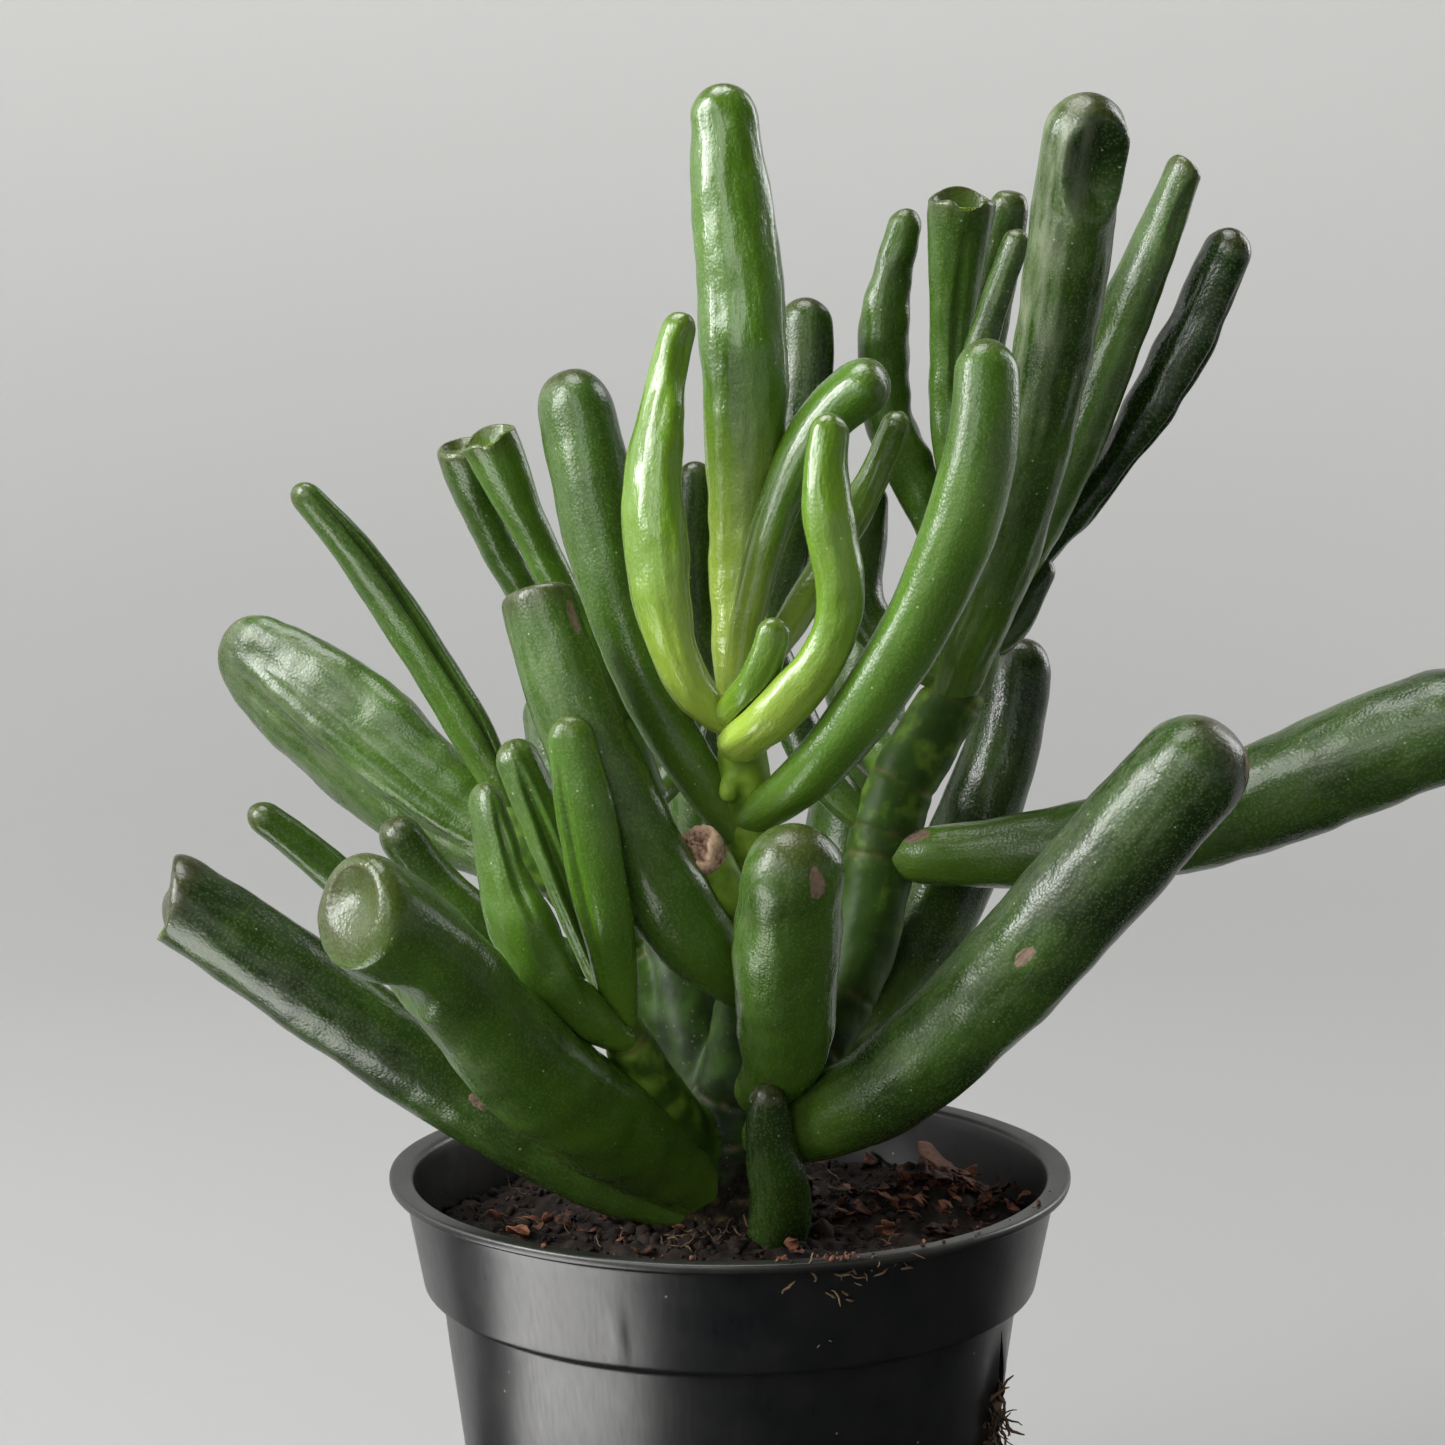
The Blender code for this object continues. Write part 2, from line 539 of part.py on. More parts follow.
def make_tuft(finish):
    """Fine roots that bulge out of the split, flattened against the wall."""
    tongue_width = SPLIT_WIDTH - 2 * CLEARANCE
    tongue = wall_block("root_tuft", tongue_width, TONGUE_LENGTH, CUT_DEPTH * WALL, TUFT_RADIUS)
    ball = bmesh.new()
    bmesh.ops.create_uvsphere(ball, u_segments=14, v_segments=9, radius=1)
    size = Vector((TUFT_RADIUS, TUFT_RADIUS, TUFT_LENGTH / 2)) * MM
    bmesh.ops.scale(ball, verts=ball.verts, vec=size)
    middle = split_middle()
    centre = direction(SPLIT_AZIMUTH, 0) * (body_radius(middle) + TUFT_PROUD)
    bmesh.ops.translate(ball, verts=ball.verts, vec=(centre + Vector((0, 0, middle))) * MM)
    mesh = bpy.data.meshes.new("tuft_ball")
    ball.to_mesh(mesh)
    ball.free()
    mesh.shade_smooth()
    bulge = bpy.data.objects.new("tuft_ball", mesh)
    combine(bulge, turned("tuft_outer_wall", wall_core(-CLEARANCE), POT_SIDES))
    combine(tongue, turned("tuft_inner_wall", wall_core(WALL), POT_SIDES))
    combine(tongue, bulge, "UNION")
    return place(tongue, finish)


def make_scrap(finish):
    """A dry, curled leaf that lies on the soil on its two ends."""
    x, y = SCRAP_PLACE
    scrap = Shoot("dry_leaf", "", 0, SCRAP_LENGTH, ((150, 24), (158, 4), (166, -24)),
                  (SCRAP_WIDTH * 0.5, SCRAP_WIDTH, SCRAP_WIDTH * 0.6), flat=SCRAP_THICKNESS / SCRAP_WIDTH)
    start = Vector((x, y, soil_height(x, y) + CLEARANCE + SCRAP_THICKNESS / 2 + SCRAP_LIFT))
    PATHS[scrap.name] = Path(start, scrap.long, scrap.turns)
    return place(shoot_solid(scrap), finish)


def main():
    for old in list(bpy.data.objects):
        bpy.data.objects.remove(old, do_unlink=True)
    new_collection(PLANT)
    new_collection(GUIDES)
    plastic = material("black_polypropylene", (0.012, 0.013, 0.014), 0.42)
    peat = material("peat_soil", (0.022, 0.013, 0.009), 0.95)
    bark = material("succulent_stem", (0.075, 0.115, 0.035), 0.6)
    mature = material("mature_leaf", (0.028, 0.085, 0.022), 0.32)
    young = material("young_leaf", (0.085, 0.21, 0.03), 0.3)
    fibre = material("root_fibre", (0.03, 0.02, 0.013), 0.95)
    dry = material("dry_leaf_skin", (0.13, 0.045, 0.025), 0.8)
    for shoot in STEMS:
        grow_path(shoot)
    for shoot in ROOTS:
        grow_path(shoot, ROOT_DEPTH)
    for shoot in LEAVES:
        grow_path(shoot, LEAF_REACH)
    make_pot(plastic)
    make_soil(STEMS + ROOTS + LEAVES, peat)
    make_stem(bark)
    for k, leaf in enumerate(LEAVES):
        make_leaf(leaf, LEAVES[:k], young if leaf.young else mature)
    make_tuft(fibre)
    make_scrap(dry)


main()
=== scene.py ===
"""The looks of a jade plant with tubular leaves in a nursery pot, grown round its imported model.

Every stem and leaf is a shoot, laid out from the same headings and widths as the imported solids, then
given its real tip, hollows, folds and skin. Lengths are millimetres until a mesh is made.
"""

import json
import math
from typing import NamedTuple

import bmesh
import bpy
import numpy as np
from bpy.props import FloatProperty, FloatVectorProperty, IntProperty, PointerProperty
from mathutils import Matrix, Vector, noise

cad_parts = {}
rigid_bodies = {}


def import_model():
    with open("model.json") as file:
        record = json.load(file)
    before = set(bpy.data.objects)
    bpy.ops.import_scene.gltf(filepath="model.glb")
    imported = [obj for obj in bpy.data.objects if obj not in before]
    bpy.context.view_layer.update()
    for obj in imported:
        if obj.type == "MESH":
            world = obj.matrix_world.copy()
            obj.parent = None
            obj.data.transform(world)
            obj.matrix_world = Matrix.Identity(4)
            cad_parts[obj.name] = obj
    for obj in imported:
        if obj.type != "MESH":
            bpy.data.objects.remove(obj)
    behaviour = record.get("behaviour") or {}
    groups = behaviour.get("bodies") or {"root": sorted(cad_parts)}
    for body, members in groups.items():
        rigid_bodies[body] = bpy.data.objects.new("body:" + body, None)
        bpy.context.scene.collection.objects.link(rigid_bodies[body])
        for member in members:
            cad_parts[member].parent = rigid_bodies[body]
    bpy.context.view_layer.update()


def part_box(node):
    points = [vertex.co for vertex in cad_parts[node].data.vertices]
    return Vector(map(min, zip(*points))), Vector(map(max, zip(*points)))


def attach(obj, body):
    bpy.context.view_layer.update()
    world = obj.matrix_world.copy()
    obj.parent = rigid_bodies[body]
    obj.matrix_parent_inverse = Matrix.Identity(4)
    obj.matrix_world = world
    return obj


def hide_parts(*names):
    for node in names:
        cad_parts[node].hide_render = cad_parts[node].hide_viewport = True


bl_info = {
    "name": "Potted Jade Plant",
    "version": (1, 0, 0),
    "blender": (4, 5, 0),
    "location": "3D View > Sidebar > Jade Plant",
    "description": "Grows a jade plant with tubular leaves, its soil and its nursery pot",
    "category": "Add Mesh",
}

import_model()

MM = 0.001
BODY = "root"

POT_LOW, POT_HIGH = (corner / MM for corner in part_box("pot"))
SOIL_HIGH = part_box("soil")[1] / MM
RIM_RADIUS = POT_HIGH.x
POT_HEIGHT = POT_HIGH.z
SOIL_MOUND = 1.5
SOIL_TOP = SOIL_HIGH.z - SOIL_MOUND
PLANTING_DEPTH = 22.0
SEAT = (-1.0, 0.0, SOIL_TOP - PLANTING_DEPTH)
PATH_STEPS = 160
HEAP = (27, 7)  # middle of the heap of dry shreds
DRAIN_HOLES = 6
DRAIN_RING = 18  # radius of the ring that they lie on


class Shoot(NamedTuple):
    """A stem or leaf from its base to its tip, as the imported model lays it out."""

    name: str
    parent: str
    at: float  # station on the parent, as a share of its length
    long: float  # along the centreline, from the parent's axis
    turns: tuple  # headings (azimuth, rise) in degrees, evenly spaced
    wide: tuple  # full widths, evenly spaced
    flat: float = 1.0  # depth over width
    roll: float = 0.0  # turn of the section about the centreline, in degrees
    cut: float = 0.0  # share of the tip's width that is flat, 0 for a round tip
    lean: float = 0.0  # how far a flat tip leans, in degrees
    young: bool = False


class Mark(NamedTuple):
    """A hollow, fold or scab on a leaf, where it lies and which way it faces."""

    at: float  # station, as a share of the leaf's length
    faces: tuple  # (azimuth, rise) of the side that it is on, in degrees
    long: float  # half its length along the leaf
    wide: float  # half its width round the leaf
    deep: float = 0.0  # how far it sinks in; a raised one is negative
    lip: float = 0.0  # height of the rolled edge round it


class Look(NamedTuple):
    """What a leaf has beyond its outline."""

    tone: float = 0.5  # 0 is the darkest skin of its kind, 1 the brightest
    blunt: float = 1.0  # under 1 a squarer round tip, over 1 a more pointed one
    dish: float = 0.0  # depth of the hollow in a flat tip
    notch: tuple = ()  # (depth, azimuth, rise) of a fold in the tip's rim
    heel: float = 1.0  # bulge of the base behind the stem's axis, in half widths
    lumps: float = 0.25  # height of its slow unevenness
    wrinkles: float = 0.05  # height of its lengthwise wrinkles
    # The pale waxy film is drawn paler on the side facing the key lamp, as a painted sheen
    wax_bloom_and_painted_sheen: float = 0.2  # pale waxy film, 0 to 1
    hollows: tuple = ()  # Marks that change the shape
    scabs: tuple = ()  # Marks that are brown and dry


STEMS = (
    Shoot("stem", "", 0, 92, ((150, 88), (-36, 85), (-55, 77), (-105, 75), (-137, 80)),
          (13, 14, 9.4, 7, 5.6)),
    Shoot("right_branch", "stem", 0.40, 73, ((19, 26), (35, 55), (46, 76), (12, 57), (45, 80)),
          (7.5, 8.2, 9, 8.4, 7)),
    Shoot("left_branch", "stem", 0.30, 31, ((-132, 46), (-132, 48), (-134, 63)), (7, 7, 6)),
    Shoot("rear_branch", "stem", 0.33, 64, ((146, 64), (113, 62), (116, 61), (138, 67)),
          (9, 8.6, 6.4, 4.5)),
    Shoot("far_branch", "rear_branch", 0.17, 47, ((138, 50), (150, 49), (173, 48), (148, 65)),
          (6.5, 6.5, 6, 4.5)),
    Shoot("pruned_stub", "stem", 0.65, 17, ((-116, 38), (-120, 42), (-171, 67)), (6, 6.4, 6.2),
          cut=0.86, lean=-12),
)

LEAVES = (
    # On the main stem, from the soil up
    Shoot("leaf_main_01", "stem", 0.17, 36, ((-42, 16), (-66, 48), (-120, 70), (-80, 78)),
          (6, 7.8, 7.2, 4.4), flat=0.85),
    Shoot("leaf_main_02", "stem", 0.25, 80, ((-162, 18), (-172, 33), (-167, 38), (-176, 34)),
          (7, 9.6, 11.6, 12, 11.4), flat=0.92, cut=0.72, lean=28),
    Shoot("leaf_main_03", "stem", 0.275, 78, ((-148, 36), (-129, 32), (-123, 43), (-130, 30)),
          (9, 13.6, 13.8, 12.4, 13.4), flat=0.95, cut=0.6, lean=18),
    Shoot("leaf_main_04", "stem", 0.30, 60, ((100, 10), (96, 30), (88, 48), (84, 60)),
          (7, 10.5, 11.5, 10.5), flat=0.9),
    Shoot("leaf_main_05", "stem", 0.375, 84, ((-35, 8), (-29, 41), (-20, 50), (-15, 49)),
          (8, 12, 13.6, 13.8, 13.6), flat=0.95),
    Shoot("leaf_main_06", "stem", 0.43, 48.5, ((-52, 12), (-87, 56), (-87, 60), (-82, 53)),
          (6, 10, 12.6, 12.6, 11), flat=0.9),
    Shoot("leaf_main_07", "stem", 0.575, 61, ((-118, 25), (-148, 55), (-171, 67), (140, 68)),
          (6, 10.5, 11.6, 10.6, 9.4), flat=0.85, cut=0.8, lean=-8),
    Shoot("leaf_main_08", "stem", 0.775, 63, ((-161, 52), (166, 62), (131, 73), (152, 74)),
          (5, 7.3, 8.6, 11.2, 10.4), flat=0.85),
    Shoot("leaf_main_09", "stem", 0.825, 69, ((-58, 22), (-18, 54), (-14, 70), (98, 77)),
          (5.4, 7.4, 8.6, 9.4, 7.8), flat=0.85),
    Shoot("leaf_main_10", "stem", 0.925, 50, ((-93, 6), (-15, 47), (-170, 80), (53, 72)),
          (5, 6.4, 5.8, 6.2, 4.8), flat=0.8, young=True),
    Shoot("leaf_main_11", "stem", 0.96, 20, ((-105, 12), (-72, 26), (-35, 62), (20, 84)),
          (4, 5, 4.4, 3.8), flat=0.8, young=True),
    Shoot("leaf_main_12", "stem", 0.95, 55, ((-130, 19), (-167, 77), (74, 76), (44, 68)),
          (4.4, 6.2, 8.4, 6.4, 4.4), flat=0.8, young=True),
    Shoot("leaf_main_13", "stem", 0.975, 74, ((88, 66), (36, 87), (122, 82), (146, 82)),
          (4.6, 7.6, 10, 10, 7.4), flat=0.85, young=True),
    Shoot("leaf_main_14", "stem", 0.975, 45, ((7, 86), (11, 76), (22, 60), (-15, 30)),
          (4, 5.6, 7.0, 9.4), flat=0.8, young=True),
    Shoot("leaf_main_15", "stem", 0.93, 38, ((98, 14), (131, 64), (129, 85), (85, 79)),
          (4, 5.8, 6, 4.6), flat=0.85),
    Shoot("leaf_main_16", "stem", 0.95, 62, ((80, 36), (76, 40), (33, 79), (114, 80)),
          (4.4, 7, 8, 6.4), flat=0.85),
    Shoot("leaf_main_17", "stem", 0.97, 44, ((44, 48), (48, 45), (36, 55), (-30, 65)),
          (3.4, 4.2, 4.6, 3.8), flat=0.85, young=True),
    # On the right branch
    Shoot("leaf_right_01", "right_branch", 0.18, 66, ((50, 2), (44, 48), (32, 64), (30, 84)),
          (7, 11.5, 12, 10.5, 8.8), flat=0.85),
    Shoot("leaf_right_02", "right_branch", 0.28, 60, ((98, 5), (84, 30), (76, 48), (68, 60)),
          (6.5, 10, 11, 10), flat=0.9),
    Shoot("leaf_right_03", "right_branch", 0.525, 79, ((-24, 4), (-9, 10), (-17, 25), (-8, 19)),
          (6.5, 10, 13, 14.4, 14), flat=0.95),
    Shoot("leaf_right_04", "right_branch", 0.57, 34, ((165, 30), (140, 48), (133, 62), (141, 62)),
          (4.6, 6.4, 6.2, 5), flat=0.85),
    Shoot("leaf_right_05", "right_branch", 0.66, 54, ((110, 10), (100, 36), (96, 55), (110, 66)),
          (5, 8.6, 9.4, 8), flat=0.88),
    Shoot("leaf_right_06", "right_branch", 0.825, 81, ((-69, 52), (-54, 67), (-79, 63), (-79, 68)),
          (6, 8.8, 9.2, 10, 9.6), flat=0.9),
    Shoot("leaf_right_07", "right_branch", 0.85, 32, ((174, 25), (168, 42), (60, 72), (82, 80)),
          (4.4, 6.6, 6.8, 5), flat=0.85),
    Shoot("leaf_right_08", "right_branch", 0.925, 16, ((28, 0), (20, 58), (22, 60)),
          (4.4, 5.6, 4.4), flat=0.85),
    Shoot("leaf_right_09", "right_branch", 0.95, 64, ((29, 53), (3, 66), (-8, 69), (-12, 67)),
          (5, 8, 8.6, 7.6, 5.4), flat=0.8, cut=0.5, lean=20),
    Shoot("leaf_right_10", "right_branch", 0.95, 64, ((68, 20), (-13, 50), (-3, 61), (-41, 66)),
          (4.2, 5, 5.6, 7.4, 6.2), flat=0.8),
    Shoot("leaf_right_11", "right_branch", 0.975, 54, ((150, 63), (152, 62), (-102, 87), (-9, 70)),
          (4.4, 6.2, 7.2, 6.4, 4.8), flat=0.85),
    Shoot("leaf_right_12", "right_branch", 0.985, 52, ((138, 80), (136, 78), (-66, 84), (-74, 78)),
          (4.4, 5.8, 5.8, 8.8), flat=0.9, cut=0.85),
    Shoot("leaf_right_13", "right_branch", 0.975, 55, ((85, 74), (97, 69), (11, 78), (-55, 77)),
          (4.4, 6, 6, 5), flat=0.85),
    Shoot("leaf_right_14", "right_branch", 0.975, 49, ((-109, 85), (-133, 81), (-2, 77), (2, 68)),
          (3.4, 4, 4, 3.4), flat=0.9),
    # On the left branch
    Shoot("leaf_left_01", "left_branch", 0.89, 40, ((-133, 21), (-147, 50), (-168, 74), (125, 70)),
          (4.6, 8.6, 9.6, 7.2, 4.8), flat=0.75),
    Shoot("leaf_left_02", "left_branch", 0.92, 38, ((128, 63), (-148, 66), (158, 66), (170, 67)),
          (4, 5.6, 6, 5.4), flat=0.8),
    Shoot("leaf_left_03", "left_branch", 0.97, 41, ((-90, 55), (-108, 63), (-172, 80), (-168, 79)),
          (4.2, 6, 7, 5.2), flat=0.75),
    # On the rear branch
    Shoot("leaf_rear_01", "rear_branch", 0.45, 54, ((70, 10), (86, 34), (96, 52), (110, 60)),
          (5, 9, 10, 8.6), flat=0.88),
    Shoot("leaf_rear_02", "rear_branch", 0.74, 46, ((60, 20), (84, 50), (98, 68), (120, 72)),
          (4.6, 7.6, 8.4, 7), flat=0.85),
    Shoot("leaf_rear_03", "rear_branch", 0.95, 41, ((-162, 36), (-157, 57), (-143, 59), (-129, 71)),
          (4.4, 5.6, 5.8, 7.4), flat=0.85, cut=0.7),
    Shoot("leaf_rear_04", "rear_branch", 0.93, 44, ((-97, 30), (-153, 61), (-137, 59), (-153, 64)),
          (4, 4.8, 4.8, 7.4), flat=0.9, cut=0.85),
    # On the far left branch
    Shoot("leaf_far_01", "far_branch", 0.36, 38, ((-150, 5), (-172, 22), (-174, 44), (-160, 58)),
          (4.4, 6, 6.8, 6.2), flat=0.85),
    Shoot("leaf_far_02", "far_branch", 0.55, 45, ((92, 0), (100, 30), (104, 44), (108, 50)),
          (5, 8.6, 9.6, 8), flat=0.88),
    Shoot("leaf_far_03", "far_branch", 0.38, 53, ((-165, 0), (-170, 12), (-170, 40), (-162, 38)),
          (4, 5, 5.6, 4.8), flat=0.85),
    Shoot("leaf_far_04", "far_branch", 0.66, 57, ((150, 18), (158, 32), (155, 34), (160, 24)),
          (6, 13, 18.5, 17.5, 12), flat=0.55, roll=80),
    Shoot("leaf_far_05", "far_branch", 0.90, 49, ((-130, 60), (-178, 59), (-162, 56), (-172, 46)),
          (4.4, 6.6, 6.6, 6, 4.4), flat=0.75),
)
SIDE_BUD = Shoot("side_bud", "stem", 0.885, 5.5, ((-125, 10), (-120, -40), (-110, -60)), (2.4, 2.8, 2.4))


PLAIN = Look()
LOOKS = {
    "leaf_main_01": Look(tone=0.25, blunt=0.9, lumps=0.2),
    "leaf_main_02": Look(tone=0.3, dish=-0.5, lumps=0.3, wax_bloom_and_painted_sheen=0.45,
                         scabs=(Mark(0.45, (-60, 0), 1.6, 0.9),)),
    "leaf_main_03": Look(tone=0.6, dish=0.9, heel=1.1, lumps=0.35, wax_bloom_and_painted_sheen=0.5,
                         hollows=(Mark(0.84, (-150, -60), 6, 6, 1.4),)),
    "leaf_main_05": Look(tone=0.15, blunt=0.85, lumps=0.3, wax_bloom_and_painted_sheen=0.3,
                         scabs=(Mark(0.60, (-95, 12), 1.6, 0.9, 0.25),
                                Mark(0.98, (-20, 10), 1.2, 1.6, 0.2))),
    "leaf_main_06": Look(tone=0.6, blunt=0.85, lumps=0.45, wrinkles=0.06, wax_bloom_and_painted_sheen=0.35,
                         scabs=(Mark(0.93, (-70, 30), 2.0, 1.2, 0.3),)),
    "leaf_main_07": Look(tone=0.5, dish=0.8, lumps=0.3, wax_bloom_and_painted_sheen=0.4,
                         scabs=(Mark(0.93, (-40, -5), 2.2, 0.8, 0.3),)),
    "leaf_main_08": Look(tone=0.55, blunt=0.8, lumps=0.25, wax_bloom_and_painted_sheen=0.2),
    "leaf_main_09": Look(tone=0.75, blunt=1.15, lumps=0.15, heel=1.3),
    "leaf_main_10": Look(tone=0.6, wrinkles=0.12, lumps=0.3, heel=1.3, wax_bloom_and_painted_sheen=0.0),
    "leaf_main_11": Look(tone=0.5, wrinkles=0.1, heel=1.2, wax_bloom_and_painted_sheen=0.0),
    "leaf_main_12": Look(tone=0.55, blunt=0.7, wrinkles=0.16, lumps=0.4, heel=1.2, wax_bloom_and_painted_sheen=0.0,
                         hollows=(Mark(0.9, (-60, 0), 6, 2.5, 0.6),)),
    "leaf_main_13": Look(tone=0.0, wrinkles=0.14, lumps=0.35, wax_bloom_and_painted_sheen=0.1),
    "leaf_main_14": Look(tone=0.1, blunt=0.8, lumps=0.25, wax_bloom_and_painted_sheen=0.1),
    "leaf_main_15": Look(tone=0.4),
    "leaf_main_16": Look(tone=0.3, wax_bloom_and_painted_sheen=0.4),
    "leaf_main_17": Look(tone=0.45, wrinkles=0.1, wax_bloom_and_painted_sheen=0.0),
    "leaf_right_01": Look(tone=0.15, blunt=0.8),
    "leaf_right_03": Look(tone=0.3, lumps=0.35,
                          scabs=(Mark(0.07, (-90, 60), 2.0, 1.4, 0.2),)),
    "leaf_right_04": Look(tone=0.2),
    "leaf_right_06": Look(tone=0.35, wrinkles=0.2, lumps=0.3, wax_bloom_and_painted_sheen=1.0,
                          hollows=(Mark(0.91, (-70, -5), 6.3, 3.9, 1.7, 0.5),)),
    "leaf_right_08": Look(tone=0.2, wrinkles=0.15),
    "leaf_right_09": Look(tone=0.5, lumps=0.3, dish=0.3,
                          hollows=(Mark(0.9, (-60, 0), 5, 1.6, 0.5),)),
    "leaf_right_10": Look(tone=0.0, wrinkles=0.15, lumps=0.5, wax_bloom_and_painted_sheen=0.0,
                          hollows=(Mark(0.62, (-30, -20), 22, 1.1, 0.7),)),
    "leaf_right_11": Look(tone=0.6, lumps=0.8),
    "leaf_right_12": Look(tone=0.75, dish=3.0, notch=(2.2, -80, 0), wrinkles=0.12, lumps=0.3,
                          hollows=(Mark(0.75, (-80, 0), 12, 1.0, 0.6),)),
    "leaf_right_13": Look(tone=0.5, blunt=0.6),
    "leaf_right_14": Look(tone=0.5, blunt=1.2, wrinkles=0.15),
    "leaf_left_01": Look(tone=0.85, lumps=0.7, heel=1.2, wax_bloom_and_painted_sheen=0.15,
                         hollows=(Mark(0.75, (-60, 0), 9, 1.2, 0.6),)),
    "leaf_left_02": Look(tone=0.85, hollows=(Mark(0.5, (-85, 5), 17, 1.1, 1.1, 0.3),)),
    "leaf_left_03": Look(tone=0.85, lumps=0.2, heel=1.3, wax_bloom_and_painted_sheen=0.0,
                         hollows=(Mark(0.55, (-130, 0), 17, 0.9, 0.7),)),
    "leaf_rear_03": Look(tone=0.6, dish=1.8, lumps=0.3),
    "leaf_rear_04": Look(tone=1.0, dish=2.5, notch=(1.4, -90, 0), lumps=0.3),
    "leaf_far_01": Look(tone=0.5),
    "leaf_far_03": Look(tone=0.55, hollows=(Mark(0.6, (-60, -10), 14, 0.9, 0.5),)),
    "leaf_far_04": Look(tone=0.45, blunt=0.8, lumps=0.5, wax_bloom_and_painted_sheen=0.5,
                        hollows=(Mark(0.55, (-75, -25), 26, 2.8, -1.7),)),
    "leaf_far_05": Look(tone=0.6, hollows=(Mark(0.5, (-60, 20), 26, 0.9, 1.1),)),
}


def direction(azimuth, rise):
    """Unit vector: azimuth turns about Z from +X, rise is above the horizon, both in degrees."""
    a, r = math.radians(azimuth), math.radians(rise)
    return np.array((math.cos(r) * math.cos(a), math.cos(r) * math.sin(a), math.sin(r)))


def unit(rows):
    """Rows scaled to a length of one."""
    rows = np.asarray(rows, float)
    return rows / np.linalg.norm(rows, axis=-1, keepdims=True)


def eased(values, fractions):
    """Values at fractions of an evenly spaced list, on a smooth curve through them."""
    values = np.asarray(values, float)
    last = len(values) - 1
    x = np.clip(np.asarray(fractions, float), 0, 1) * last
    i = np.minimum(x.astype(int), last - 1)
    u = x - i
    if values.ndim > 1:
        u = u[..., None]
    a, b, c, d = (values[np.clip(i + k, 0, last)] for k in (-1, 0, 1, 2))
    bend = (2 * a - 5 * b + 4 * c - d) * u**2 + (3 * b - a - 3 * c + d) * u**3
    return b + 0.5 * ((c - a) * u + bend)


def ramp(x, low, high):
    """A smooth step from 0 at low to 1 at high."""
    t = np.clip((np.asarray(x, float) - low) / (high - low), 0, 1)
    return t * t * (3 - 2 * t)


def rough(points, grain, seed=0.0):
    """Smooth noise from -1 to 1 at points, with lumps about as big as grain."""
    return np.array([noise.noise(p) for p in (np.asarray(points) / grain + seed).tolist()])


class Path:
    """A grown centreline, with the axes of its section carried along it."""

    def __init__(self, start, length, turns):
        headings = [direction(*turn) for turn in turns]
        steps = np.linspace(0, 1, PATH_STEPS + 1)
        middles = unit(eased(headings, steps[:-1] + 0.5 / PATH_STEPS))
        self.length = length
        self.steps = steps
        self.ahead = unit(eased(headings, steps))
        moved = np.vstack([np.zeros(3), np.cumsum(middles * length / PATH_STEPS, axis=0)])
        self.points = np.asarray(start, float) + moved
        side = np.cross((0, 0, 1), self.ahead[0])
        if np.linalg.norm(side) < 0.05:
            side = np.array((0.0, 1.0, 0.0))
        sides = []
        for ahead in self.ahead:
            side = unit(side - ahead * (side @ ahead))
            sides.append(side)
        self.side = np.array(sides)

    def at(self, fractions):
        """Points, sides, normals and headings at fractions of the length, in line past its ends."""
        asked = np.atleast_1d(np.asarray(fractions, float))
        held = np.clip(asked, 0, 1)
        rows = []
        for table in (self.points, self.side, self.ahead):
            rows.append(np.stack([np.interp(held, self.steps, table[:, k]) for k in range(3)], axis=1))
        points, side, ahead = rows[0], unit(rows[1]), unit(rows[2])
        points = points + ahead * ((asked - held) * self.length)[:, None]
        return points, side, np.cross(ahead, side), ahead


PATHS = {}


def lay_out():
    """Grow the centreline of every stem and leaf, parents first."""
    for shoot in (*STEMS, SIDE_BUD, *LEAVES):
        start = PATHS[shoot.parent].at(shoot.at)[0][0] if shoot.parent else SEAT
        PATHS[shoot.name] = Path(start, shoot.long, shoot.turns)


def section_axes(shoot, fractions):
    """Centre, side, normal and heading at fractions, with the section's roll."""
    centre, side, normal, ahead = PATHS[shoot.name].at(fractions)
    turn = math.radians(shoot.roll)
    rolled = side * math.cos(turn) + normal * math.sin(turn)
    return centre, rolled, np.cross(ahead, rolled), ahead


def half_sizes(shoot, fractions):
    """Half width and half depth at fractions."""
    width = eased(shoot.wide, fractions) / 2
    return width, width * shoot.flat


def shoot_rows(shoot, look, spacing):
    """Rows of (fraction, share of the section, share of the tip's lean) from heel to tip."""
    length = PATHS[shoot.name].length
    base, tip = half_sizes(shoot, 0.0)[0], half_sizes(shoot, 1.0)[0]
    rounding = (1 - shoot.cut) * tip
    neck = 1 - rounding / length
    rows = []
    for degrees in (-78, -62, -46, -30, -15):
        a = math.radians(degrees)
        rows.append((math.sin(a) * base * look.heel / length, math.cos(a), 0))
    count = max(8, round(neck * length / spacing))
    rows += [(neck * k / count, 1, 0) for k in range(count + 1)]
    for degrees in range(9, 90, 9):
        a = math.radians(degrees)
        share = shoot.cut + (1 - shoot.cut) * math.cos(a) ** look.blunt
        rows.append((neck + math.sin(a) * rounding / length, share, math.sin(a)))
    if shoot.cut:
        for q in (1.0, 0.96, 0.9, 0.82, 0.7, 0.55, 0.4, 0.25, 0.1):
            sunk = look.dish * (1 - q * q)
            rows.append((1 - sunk / length, shoot.cut * q, q))
    return np.array(rows)


